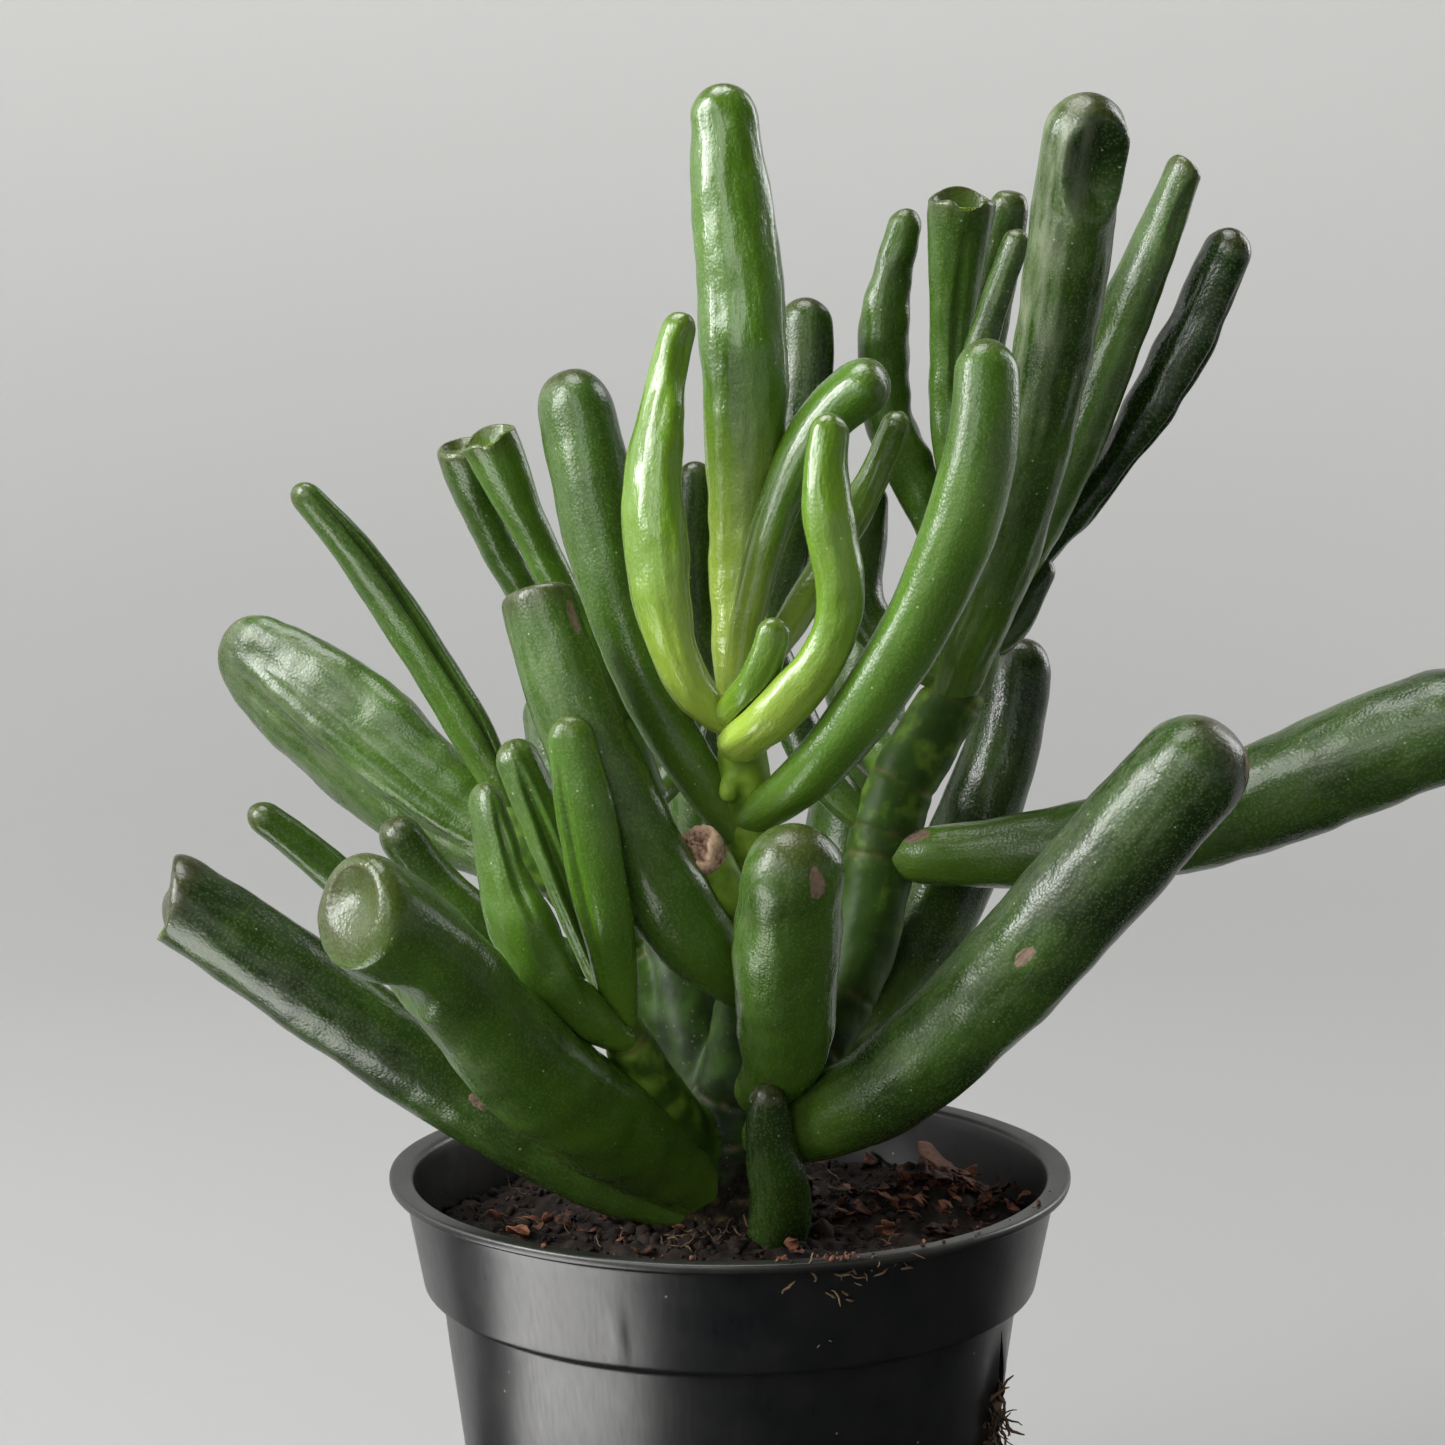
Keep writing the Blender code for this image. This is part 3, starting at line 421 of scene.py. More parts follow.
class Skin:
    """The points of a shoot's skin in rings, and what the materials read at each."""

    def __init__(self, shoot, look, spacing, sides):
        self.shoot = shoot
        self.rows = shoot_rows(shoot, look, spacing)
        self.sides = sides
        f = self.rows[:, 0]
        share = self.rows[:, 1][:, None]
        angle = np.linspace(0, 2 * math.pi, sides, endpoint=False)
        centre, side, normal, ahead = section_axes(shoot, f)
        width, depth = half_sizes(shoot, f)
        self.length = PATHS[shoot.name].length
        self.angle = angle
        self.width = width
        across = np.cos(angle) * width[:, None] * share
        up = np.sin(angle) * depth[:, None] * share
        lean = np.tan(np.radians(shoot.lean) * self.rows[:, 2])[:, None] * up
        self.points = (
            centre[:, None] + side[:, None] * across[..., None] + normal[:, None] * up[..., None]
            + ahead[:, None] * lean[..., None]
        )
        out = side[:, None] * np.cos(angle)[:, None] * shoot.flat + normal[:, None] * np.sin(angle)[:, None]
        self.out = unit(out)
        self.axes = side, normal, ahead
        self.along = np.repeat(f[:, None], sides, axis=1)
        self.flat_place = np.stack([across, up, self.along * self.length], axis=-1)
        self.whole = ramp(f, 0.0, 0.06)[:, None] * np.minimum(share, 1.0)

    def facing(self, azimuth, rise, at):
        """The angle round the section that faces a direction at a station."""
        _, side, normal, _ = section_axes(self.shoot, at)
        wanted = direction(azimuth, rise)
        return math.atan2(wanted @ normal[0], wanted @ side[0])

    def distance(self, mark):
        """How far each point is from a mark, where 1 is on the mark's edge."""
        turned = self.angle - self.facing(*mark.faces, mark.at)
        turned = (turned + math.pi) % (2 * math.pi) - math.pi
        round_it = turned[None] * self.width[:, None] / mark.wide
        along_it = (self.along - mark.at) * self.length / mark.long
        return np.hypot(round_it, along_it)

    def push(self, height):
        """Move the skin out by a height at each point."""
        self.points = self.points + self.out * height[..., None]

    def noise(self, grain, seed, stretch=1.0):
        """Smooth noise over the skin, drawn out along it by stretch."""
        place = self.flat_place * (1, 1, 1 / stretch)
        flat = rough(place.reshape(-1, 3), grain, seed)
        return flat.reshape(self.points.shape[:2])


def press_clear(skin, others, gap=0.05):
    """Dent a leaf's skin where it would run into its neighbours' skins."""
    points = skin.points.reshape(-1, 3)
    free = ramp(skin.along, 0.10, 0.25).reshape(-1, 1)
    low, high = points.min(axis=0), points.max(axis=0)
    for other in others:
        centres, side, normal, ahead = section_axes(other, PATHS[other.name].steps)
        width, depth = half_sizes(other, PATHS[other.name].steps)
        reach = width.max()
        if (centres.min(axis=0) - reach > high).any() or (centres.max(axis=0) + reach < low).any():
            continue
        apart = np.linalg.norm(points[:, None] - centres[None, ::4], axis=2)
        near = np.flatnonzero(apart.min(axis=1) < reach + gap)
        if not len(near):
            continue
        station = apart[near].argmin(axis=1) * 4
        offset = points[near] - centres[station]
        offset -= ahead[station] * np.sum(offset * ahead[station], axis=1, keepdims=True)
        a = np.sum(offset * side[station], axis=1)
        b = np.sum(offset * normal[station], axis=1)
        far = np.hypot(a, b)
        edge = far / np.hypot(a / width[station], b / depth[station]) + gap
        inside = (far < edge) & (station > 4) & (station < PATH_STEPS - 4)
        push = np.where(inside, edge - far, 0)[:, None]
        points[near] += offset / far[:, None] * push * free[near]
    skin.points = points.reshape(skin.points.shape)


def fan(rings, sides):
    """Faces over rings of points in order, with a pole before the first and after the last."""
    faces = []
    pole = rings * sides
    for k in range(sides):
        n = (k + 1) % sides
        faces.append((pole, n, k))
        faces.append((pole + 1, (rings - 1) * sides + k, (rings - 1) * sides + n))
    for r in range(rings - 1):
        for k in range(sides):
            n = (k + 1) % sides
            low, high = r * sides, (r + 1) * sides
            faces.append((low + k, low + n, high + n, high + k))
    return faces


def make_object(name, points, faces, finish, values=None):
    """A smooth mesh object in metres, with values for its material at each point."""
    mesh = bpy.data.meshes.new(name)
    mesh.from_pydata((np.asarray(points) * MM).tolist(), [], faces)
    for key, rows in (values or {}).items():
        rows = np.asarray(rows, np.float32)
        kind = "FLOAT_VECTOR" if rows.ndim == 2 else "FLOAT"
        field = "vector" if rows.ndim == 2 else "value"
        mesh.attributes.new(key, kind, "POINT").data.foreach_set(field, rows.ravel())
    mesh.shade_smooth()
    mesh.materials.append(finish)
    made = bpy.data.objects.new(name, mesh)
    bpy.context.scene.collection.objects.link(made)
    return made


def leaf_skin(leaf, look, seed, others):
    """A leaf's skin with its hollows, lumps, wrinkles and folded tip."""
    size = max(leaf.wide)
    skin = Skin(leaf, look, 0.6, 32 + 4 * round(size))
    height = look.lumps * skin.noise(7.0, seed) + 0.4 * look.lumps * skin.noise(3.0, seed + 5)
    height += look.wrinkles * skin.noise(1.1, seed + 9, 5.0)
    for mark in look.hollows:
        q = skin.distance(mark)
        height -= mark.deep * (1 - ramp(q, 0.3, 1.0))
        height += mark.lip * np.exp(-(((q - 1.05) / 0.22) ** 2))
    for mark in look.scabs:
        height -= mark.deep * (1 - ramp(skin.distance(mark), 0.5, 1.1))
    skin.push(height * skin.whole)
    if look.notch:
        depth, azimuth, rise = look.notch
        turned = skin.angle - skin.facing(azimuth, rise, 1.0)
        turned = (turned + math.pi) % (2 * math.pi) - math.pi
        fold = depth * np.exp(-((turned / 0.4) ** 2)) - 0.3 * depth * np.cos(2 * turned)
        ahead = skin.axes[2][:, None]
        skin.points = skin.points - ahead * (fold[None] * skin.rows[:, 2][:, None])[..., None]
    press_clear(skin, others)
    return skin


def skin_object(name, skin, finish, values):
    """Close a skin at both poles and make it an object."""
    rings, sides = skin.points.shape[:2]
    poles = skin.points[[0, -1]].mean(axis=1)
    points = np.vstack([skin.points.reshape(-1, 3), poles])
    closed = {}
    for key, rows in values.items():
        rows = np.asarray(rows)
        ends = rows[[0, -1]].mean(axis=1)
        closed[key] = np.concatenate([rows.reshape(rings * sides, *rows.shape[2:]), ends])
    return make_object(name, points, fan(rings, sides), finish, closed)


def linear(hex_colour):
    """A colour given as sRGB hex, in linear light with full alpha."""
    parts = [int(hex_colour[k:k + 2], 16) / 255 for k in (0, 2, 4)]
    return tuple(c / 12.92 if c <= 0.04045 else ((c + 0.055) / 1.055) ** 2.4 for c in parts) + (1.0,)


def add_node(tree, kind, settings=None, links=None):
    """Add a node; a setting is a property or an input, and a link feeds an input from a socket."""
    made = tree.nodes.new(kind)
    for key, value in (settings or {}).items():
        if isinstance(key, str) and hasattr(made, key):
            setattr(made, key, value)
        else:
            made.inputs[key].default_value = value
    for key, source in (links or {}).items():
        tree.links.new(source, made.inputs[key])
    return made


def new_finish(name, settings):
    """A material with only its Principled shader, set as the real surface is."""
    made = bpy.data.materials.new(name)
    made.use_nodes = True
    shader = made.node_tree.nodes["Principled BSDF"]
    for key, value in settings.items():
        shader.inputs[key].default_value = value
    return made, made.node_tree, shader


def blended(tree, factor, low, high):
    """Colour socket that goes from low to high; each is a socket or a colour."""
    settings = {"data_type": "RGBA"}
    links = {0: factor}
    for key, colour in ((6, low), (7, high)):
        if isinstance(colour, bpy.types.NodeSocket):
            links[key] = colour
        else:
            settings[key] = colour
    return add_node(tree, "ShaderNodeMix", settings, links).outputs[2]


def leaf_finish(name, dark, bright, heel, settings, relief, paleness, reach):
    """Waxed cuticle over juicy green tissue: a soft gloss with grain, pale pores and a pale heel."""
    made, tree, shader = new_finish(name, settings)
    out = {}
    for key in ("tone", "along", "wax_bloom_and_painted_sheen", "scab", "rim"):
        out[key] = add_node(tree, "ShaderNodeAttribute", {"attribute_name": key}).outputs["Fac"]
    place = add_node(tree, "ShaderNodeAttribute", {"attribute_name": "leaf_place"}).outputs["Vector"]
    patches = add_node(tree, "ShaderNodeTexNoise", {"Scale": 1 / 11.0, "Detail": 3}, {"Vector": place})
    swing = add_node(tree, "ShaderNodeMapRange", {"From Min": 0.3, "From Max": 0.7, "To Min": -0.2,
                                                  "To Max": 0.2}, {"Value": patches.outputs["Fac"]})
    shade = add_node(tree, "ShaderNodeMath", {"operation": "ADD", "use_clamp": True},
                     {0: out["tone"], 1: swing.outputs["Result"]})
    body = blended(tree, shade.outputs[0], dark, bright)
    # Cells of the skin, 0.4 mm across
    cells = add_node(tree, "ShaderNodeTexVoronoi", {"Scale": 1 / 0.4}, {"Vector": place})
    grain = add_node(tree, "ShaderNodeMapRange", {"From Min": 0.0, "From Max": 0.5, "To Min": 0.3,
                                                  "To Max": 0.0}, {"Value": cells.outputs["Distance"]})
    body = blended(tree, grain.outputs["Result"], body, linear("71854a"))
    fade = add_node(tree, "ShaderNodeMapRange", {"From Min": 0.05, "From Max": reach,
                                                 "To Min": paleness, "To Max": 0.0}, {"Value": out["along"]})
    body = blended(tree, fade.outputs["Result"], body, heel)
    # Pores that leave pale salt dots, about 1.7 mm apart
    pores = add_node(tree, "ShaderNodeTexVoronoi", {"Scale": 1 / 1.7}, {"Vector": place})
    dot = add_node(tree, "ShaderNodeMapRange", {"From Min": 0.05, "From Max": 0.10, "To Min": 1.0,
                                                "To Max": 0.0}, {"Value": pores.outputs["Distance"]})
    chosen = add_node(tree, "ShaderNodeSeparateColor", {}, {"Color": pores.outputs["Color"]})
    rare = add_node(tree, "ShaderNodeMath", {"operation": "GREATER_THAN", 1: 0.62},
                    {0: chosen.outputs["Red"]})
    dots = add_node(tree, "ShaderNodeMath", {"operation": "MULTIPLY"},
                    {0: dot.outputs["Result"], 1: rare.outputs[0]})
    faint = add_node(tree, "ShaderNodeMath", {"operation": "MULTIPLY", 1: 0.6}, {0: dots.outputs[0]})
    body = blended(tree, faint.outputs[0], body, linear("9fae84"))
    # A waxy film that rubs off in streaks along the leaf, drawn paler on the side facing the key lamp as a
    # painted sheen
    drawn = add_node(tree, "ShaderNodeVectorMath", {"operation": "MULTIPLY", 1: (1, 1, 0.22)}, {0: place})
    streaks = add_node(tree, "ShaderNodeTexNoise", {"Scale": 1 / 1.5, "Detail": 5, "Roughness": 0.6},
                       {"Vector": drawn.outputs["Vector"]})
    worn = add_node(tree, "ShaderNodeMapRange", {"From Min": 0.35, "From Max": 0.7, "To Max": 0.55},
                    {"Value": streaks.outputs["Fac"]})
    wax_and_painted_sheen = add_node(tree, "ShaderNodeMath", {"operation": "MULTIPLY"},
                   {0: worn.outputs["Result"], 1: out["wax_bloom_and_painted_sheen"]})
    body = blended(tree, wax_and_painted_sheen.outputs[0], body, linear("868d74"))
    body = blended(tree, out["rim"], body, linear("3d3320"))
    # Dry scabs with ragged edges
    ragged = add_node(tree, "ShaderNodeTexNoise", {"Scale": 1 / 0.7, "Detail": 4}, {"Vector": place})
    torn = add_node(tree, "ShaderNodeMath", {"operation": "MULTIPLY_ADD", 1: 0.9, 2: -0.45},
                    {0: ragged.outputs["Fac"]})
    spread = add_node(tree, "ShaderNodeMath", {"operation": "ADD"}, {0: torn.outputs[0], 1: out["scab"]})
    scab = add_node(tree, "ShaderNodeMapRange", {"From Min": 0.45, "From Max": 0.6},
                    {"Value": spread.outputs[0]})
    crust = blended(tree, ragged.outputs["Fac"], linear("33241a"), linear("8a7560"))
    body = blended(tree, scab.outputs["Result"], body, crust)
    tree.links.new(body, shader.inputs["Base Color"])
    # Gloss falls where the waxy film and its painted sheen lie, or a scab
    dull = add_node(tree, "ShaderNodeMath", {"operation": "MULTIPLY_ADD", 1: 0.35, 2: settings["Roughness"]},
                    {0: wax_and_painted_sheen.outputs[0]})
    uneven = add_node(tree, "ShaderNodeMath", {"operation": "MULTIPLY_ADD", 1: 0.12},
                      {0: streaks.outputs["Fac"], 2: dull.outputs[0]})
    matte = add_node(tree, "ShaderNodeMath", {"operation": "MULTIPLY_ADD", 1: 0.4, "use_clamp": True},
                     {0: scab.outputs["Result"], 2: uneven.outputs[0]})
    tree.links.new(matte.outputs[0], shader.inputs["Roughness"])
    ripple = add_node(tree, "ShaderNodeTexNoise", {"Scale": 1 / 1.4, "Detail": 2}, {"Vector": place})
    crease = add_node(tree, "ShaderNodeBump", {"Strength": relief, "Distance": 0.25 * MM},
                      {"Height": streaks.outputs["Fac"]})
    wave = add_node(tree, "ShaderNodeBump", {"Strength": relief, "Distance": 0.15 * MM},
                    {"Height": ripple.outputs["Fac"], "Normal": crease.outputs["Normal"]})
    pebble = add_node(tree, "ShaderNodeBump", {"Strength": 0.6, "Distance": 0.05 * MM, "invert": True},
                      {"Height": cells.outputs["Distance"], "Normal": wave.outputs["Normal"]})
    flaky = add_node(tree, "ShaderNodeBump", {"Strength": 0.8, "Distance": 0.2 * MM},
                     {"Height": spread.outputs[0], "Normal": pebble.outputs["Normal"]})
    rubbed = add_node(tree, "ShaderNodeMix", {"data_type": "VECTOR"},
                      {0: scab.outputs["Result"], 4: pebble.outputs["Normal"],
                       5: flaky.outputs["Normal"]})
    tree.links.new(rubbed.outputs[1], shader.inputs["Normal"])
    return made


def stem_finish(colours):
    """Green stem skin that corks from the soil up: olive, then grey bark that goes near black in its cracks.
    """
    made, tree, shader = new_finish("succulent_stem_skin", {"Roughness": 0.5, "Specular IOR Level": 0.16})
    out = {}
    for key in ("age", "bark", "ring"):
        out[key] = add_node(tree, "ShaderNodeAttribute", {"attribute_name": key}).outputs["Fac"]
    place = add_node(tree, "ShaderNodeTexCoord").outputs["Object"]
    patches = add_node(tree, "ShaderNodeTexNoise", {"Scale": 1 / (3.0 * MM), "Detail": 4}, {"Vector": place})
    swing = add_node(tree, "ShaderNodeMapRange", {"From Min": 0.3, "From Max": 0.7, "To Min": -0.2,
                                                  "To Max": 0.2}, {"Value": patches.outputs["Fac"]})
    aged = add_node(tree, "ShaderNodeMath", {"operation": "ADD", "use_clamp": True},
                    {0: out["age"], 1: swing.outputs["Result"]})
    young_part = add_node(tree, "ShaderNodeMapRange", {"From Max": 0.5}, {"Value": aged.outputs[0]})
    old_part = add_node(tree, "ShaderNodeMapRange", {"From Min": 0.5}, {"Value": aged.outputs[0]})
    body = blended(tree, young_part.outputs["Result"], colours.young_stem, colours.olive_stem)
    body = blended(tree, old_part.outputs["Result"], body, colours.old_stem)
    crack = add_node(tree, "ShaderNodeTexNoise", {"Scale": 1 / (0.8 * MM), "Detail": 5, "Roughness": 0.7},
                     {"Vector": place})
    flake = add_node(tree, "ShaderNodeMapRange", {"From Min": 0.42, "From Max": 0.62},
                     {"Value": crack.outputs["Fac"]})
    # Near black where the bark's bump is low, in its cracks
    cork = blended(tree, flake.outputs["Result"], linear("120d0a"), colours.bark)
    barked = add_node(tree, "ShaderNodeMath", {"operation": "ADD", "use_clamp": True},
                      {0: out["bark"], 1: swing.outputs["Result"]})
    sharp = add_node(tree, "ShaderNodeMapRange", {"From Min": 0.35, "From Max": 0.7},
                     {"Value": barked.outputs[0]})
    body = blended(tree, sharp.outputs["Result"], body, cork)
    fleck = add_node(tree, "ShaderNodeTexVoronoi", {"Scale": 1 / (1.1 * MM)}, {"Vector": place})
    dot = add_node(tree, "ShaderNodeMapRange", {"From Min": 0.08, "From Max": 0.16, "To Min": 0.2,
                                                "To Max": 0.0}, {"Value": fleck.outputs["Distance"]})
    old_dot = add_node(tree, "ShaderNodeMath", {"operation": "MULTIPLY"},
                       {0: dot.outputs["Result"], 1: out["age"]})
    body = blended(tree, old_dot.outputs[0], body, linear("9c9c84"))
    body = blended(tree, out["ring"], body, linear("5a5030"))
    tree.links.new(body, shader.inputs["Base Color"])
    dull = add_node(tree, "ShaderNodeMapRange", {"To Min": 0.48, "To Max": 0.95},
                    {"Value": sharp.outputs["Result"]})
    tree.links.new(dull.outputs["Result"], shader.inputs["Roughness"])
    soft = add_node(tree, "ShaderNodeBump", {"Strength": 0.5, "Distance": 0.15 * MM},
                    {"Height": patches.outputs["Fac"]})
    rough_bark = add_node(tree, "ShaderNodeBump", {"Strength": 0.8, "Distance": 0.4 * MM},
                          {"Height": flake.outputs["Result"], "Normal": soft.outputs["Normal"]})
    mixed = add_node(tree, "ShaderNodeMix", {"data_type": "VECTOR"},
                     {0: sharp.outputs["Result"], 4: soft.outputs["Normal"],
                      5: rough_bark.outputs["Normal"]})
    tree.links.new(mixed.outputs[1], shader.inputs["Normal"])
    return made


def plastic_finish(colours):
    """Black polypropylene, thin and blow moulded: a broad satin sheen under dust and fine scratches."""
    made, tree, shader = new_finish("black_polypropylene", {"Roughness": 0.36, "IOR": 1.49})
    place = add_node(tree, "ShaderNodeTexCoord").outputs["Object"]
    height = add_node(tree, "ShaderNodeSeparateXYZ", {}, {"Vector": place}).outputs["Z"]
    film = add_node(tree, "ShaderNodeTexNoise", {"Scale": 1 / (9.0 * MM), "Detail": 6, "Roughness": 0.65},
                    {"Vector": place})
    thin = add_node(tree, "ShaderNodeMapRange", {"From Min": 0.35, "From Max": 0.8, "To Max": 0.09},
                    {"Value": film.outputs["Fac"]})
    lip = add_node(tree, "ShaderNodeMapRange",
                   {"From Min": (POT_HEIGHT - 1.6) * MM, "From Max": POT_HEIGHT * MM, "To Max": 0.16},
                   {"Value": height})
    worn = add_node(tree, "ShaderNodeMath", {"operation": "MULTIPLY"},
                    {0: lip.outputs["Result"], 1: film.outputs["Fac"]})
    dust = add_node(tree, "ShaderNodeMath", {"operation": "ADD", "use_clamp": True},
                    {0: thin.outputs["Result"], 1: worn.outputs[0]})
    body = blended(tree, dust.outputs[0], colours.plastic, colours.dust)
    # Splashes of hard water and peat, about 3 mm apart
    specks = add_node(tree, "ShaderNodeTexVoronoi", {"Scale": 1 / (3.2 * MM)}, {"Vector": place})
    chosen = add_node(tree, "ShaderNodeSeparateColor", {}, {"Color": specks.outputs["Color"]})
    few = add_node(tree, "ShaderNodeMath", {"operation": "GREATER_THAN", 1: 0.72},
                   {0: chosen.outputs["Red"]})
    dot = add_node(tree, "ShaderNodeMapRange", {"From Min": 0.03, "From Max": 0.07, "To Min": 0.8,
                                                "To Max": 0.0}, {"Value": specks.outputs["Distance"]})
    spot = add_node(tree, "ShaderNodeMath", {"operation": "MULTIPLY"},
                    {0: dot.outputs["Result"], 1: few.outputs[0]})
    body = blended(tree, spot.outputs[0], body, linear("8f877a"))
    tree.links.new(body, shader.inputs["Base Color"])
    stretch = add_node(tree, "ShaderNodeVectorMath", {"operation": "MULTIPLY", 1: (1, 1, 0.12)}, {0: place})
    brushed = add_node(tree, "ShaderNodeTexNoise", {"Scale": 1 / (0.5 * MM), "Detail": 3},
                       {"Vector": stretch.outputs["Vector"]})
    gloss = add_node(tree, "ShaderNodeMath", {"operation": "MULTIPLY_ADD", 1: 0.16, 2: 0.22},
                     {0: brushed.outputs["Fac"]})
    dusty = add_node(tree, "ShaderNodeMath", {"operation": "MULTIPLY_ADD", 1: 0.6, "use_clamp": True},
                     {0: dust.outputs[0], 2: gloss.outputs[0]})
    tree.links.new(dusty.outputs[0], shader.inputs["Roughness"])
    draw = add_node(tree, "ShaderNodeBump", {"Strength": 0.12, "Distance": 0.05 * MM},
                    {"Height": brushed.outputs["Fac"]})
    orange_peel = add_node(tree, "ShaderNodeBump", {"Strength": 0.25, "Distance": 0.12 * MM},
                           {"Height": film.outputs["Fac"], "Normal": draw.outputs["Normal"]})
    tree.links.new(orange_peel.outputs["Normal"], shader.inputs["Normal"])
    return made


def litter_finish(name, low, high, grain, roughness=0.9):
    """Dry plant matter or peat: dull, with a colour of its own for each bit and a rough grain."""
    made, tree, shader = new_finish(name, {"Roughness": roughness, "Specular IOR Level": 0.25})
    tint = add_node(tree, "ShaderNodeAttribute", {"attribute_name": "tint"}).outputs["Fac"]
    place = add_node(tree, "ShaderNodeTexCoord").outputs["Object"]
    mottle = add_node(tree, "ShaderNodeTexNoise", {"Scale": 1 / (grain * MM), "Detail": 5},
                      {"Vector": place})
    swing = add_node(tree, "ShaderNodeMapRange", {"From Min": 0.3, "From Max": 0.7, "To Min": -0.3,
                                                  "To Max": 0.3}, {"Value": mottle.outputs["Fac"]})
    shade = add_node(tree, "ShaderNodeMath", {"operation": "ADD", "use_clamp": True},
                     {0: tint, 1: swing.outputs["Result"]})
    tree.links.new(blended(tree, shade.outputs[0], low, high), shader.inputs["Base Color"])
    bump = add_node(tree, "ShaderNodeBump", {"Strength": 0.8, "Distance": 0.25 * grain * MM},
                    {"Height": mottle.outputs["Fac"]})
    tree.links.new(bump.outputs["Normal"], shader.inputs["Normal"])
    return made


class PlantLooks(bpy.types.PropertyGroup):
    """Colours of the plant."""

    mature_dark: FloatVectorProperty(
        name="Mature leaf, dark", description="Shaded old leaf", subtype="COLOR", size=4,
        default=linear("14270a"))
    mature_bright: FloatVectorProperty(
        name="Mature leaf, bright", description="Sunlit old leaf", subtype="COLOR", size=4,
        default=linear("456818"))
    mature_heel: FloatVectorProperty(
        name="Mature leaf heel", description="Pale base of an old leaf", subtype="COLOR", size=4,
        default=linear("5a7828"))
    young_dark: FloatVectorProperty(
        name="Young leaf, dark", description="Shaded new leaf", subtype="COLOR", size=4,
        default=linear("3c5e0e"))
    young_bright: FloatVectorProperty(
        name="Young leaf, bright", description="Sunlit new leaf", subtype="COLOR", size=4,
        default=linear("6b8c24"))
    young_heel: FloatVectorProperty(
        name="Young leaf heel", description="Pale base of a new leaf", subtype="COLOR", size=4,
        default=linear("a6ba4c"))
    young_stem: FloatVectorProperty(
        name="Young stem", description="Stem near its tip", subtype="COLOR", size=4,
        default=linear("7c9c32"))
    olive_stem: FloatVectorProperty(
        name="Olive stem", description="Stem in its second year", subtype="COLOR", size=4,
        default=linear("2f4a10"))
    old_stem: FloatVectorProperty(
        name="Old stem", description="Stem near the soil", subtype="COLOR", size=4,
        default=linear("17240e"))
    bark: FloatVectorProperty(
        name="Bark", description="Cork on the stem's foot", subtype="COLOR", size=4,
        default=linear("2c271f"))


class PotLooks(bpy.types.PropertyGroup):
    """Sizes and colours of the pot."""

    lip_width: FloatProperty(
        name="Lip width", description="How far the lip stands out from the band", unit="LENGTH",
        default=1.8 * MM)
    lip_thickness: FloatProperty(
        name="Lip thickness", description="Height of the lip's edge", unit="LENGTH", default=1.3 * MM)
    band_height: FloatProperty(
        name="Band height", description="Height of the band under the lip", unit="LENGTH",
        default=13 * MM)
    band_taper: FloatProperty(
        name="Band taper", description="How much the band narrows downwards", unit="LENGTH",
        default=2.5 * MM)
    band_step: FloatProperty(
        name="Band step", description="How far the wall steps in under the band", unit="LENGTH",
        default=2.1 * MM)
    foot_radius: FloatProperty(
        name="Foot radius", description="Radius at the foot", unit="LENGTH", default=28 * MM)
    wall: FloatProperty(
        name="Wall", description="Thickness of the wall", unit="LENGTH", default=1.1 * MM)
    split_azimuth: FloatProperty(
        name="Split", description="Side on which the wall is torn", unit="ROTATION",
        default=math.radians(-22))
    plastic: FloatVectorProperty(
        name="Plastic", description="Colour of the plastic", subtype="COLOR", size=4,
        default=linear("0b0d0f"))
    dust: FloatVectorProperty(
        name="Dust", description="Colour of the dust on it", subtype="COLOR", size=4,
        default=linear("57534a"))


class SoilLooks(bpy.types.PropertyGroup):
    """How much lies on the soil, and its colours."""

    crumbs: IntProperty(name="Crumbs", description="Loose crumbs of peat", default=1500, min=0)
    fibres: IntProperty(name="Fibres", description="Fine fibres", default=170, min=0)
    shreds: IntProperty(name="Shreds", description="Curled dry leaf shreds", default=190, min=0)
    peat_dark: FloatVectorProperty(
        name="Peat, dark", description="Damp peat", subtype="COLOR", size=4, default=linear("0d0908"))
    peat_light: FloatVectorProperty(
        name="Peat, light", description="Dry peat", subtype="COLOR", size=4, default=linear("33271f"))
    shred_dark: FloatVectorProperty(
        name="Shred, dark", description="Rotten shreds", subtype="COLOR", size=4,
        default=linear("21110d"))
    shred_light: FloatVectorProperty(
        name="Shred, light", description="Dry shreds", subtype="COLOR", size=4,
        default=linear("7a4f3a"))


STEM_AGES = {  # age along each stem, from 0 new to 1 old
    "stem": (1.0, 1.0, 1.0, 0.95, 0.75, 0.45, 0.2, 0.05),
    "right_branch": (0.9, 0.75, 0.6, 0.55, 0.5, 0.45),
    "left_branch": (0.8, 0.5, 0.42),
    "rear_branch": (0.95, 0.85, 0.7, 0.5),
    "far_branch": (0.8, 0.6, 0.3),
    "pruned_stub": (0.6, 0.25, 0.25),
}


def own(piece, slot, *nodes):
    """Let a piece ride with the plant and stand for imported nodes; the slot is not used."""
    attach(piece, BODY)
    if nodes:
        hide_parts(*nodes)
    return piece


def evaluated(piece, *removed):
    """The mesh of a piece with its modifiers applied; the objects given are removed."""
    graph = bpy.context.evaluated_depsgraph_get()
    mesh = bpy.data.meshes.new_from_object(piece.evaluated_get(graph))
    for old in removed:
        bpy.data.objects.remove(old, do_unlink=True)
    return mesh


def points_of(mesh):
    """A mesh's points in millimetres."""
    flat = np.zeros(len(mesh.vertices) * 3, np.float32)
    mesh.vertices.foreach_get("co", flat)
    return flat.reshape(-1, 3).astype(float) / MM


def set_points(mesh, points):
    """Move a mesh's points to places given in millimetres."""
    mesh.vertices.foreach_set("co", (points * MM).astype(np.float32).ravel())
    mesh.update()


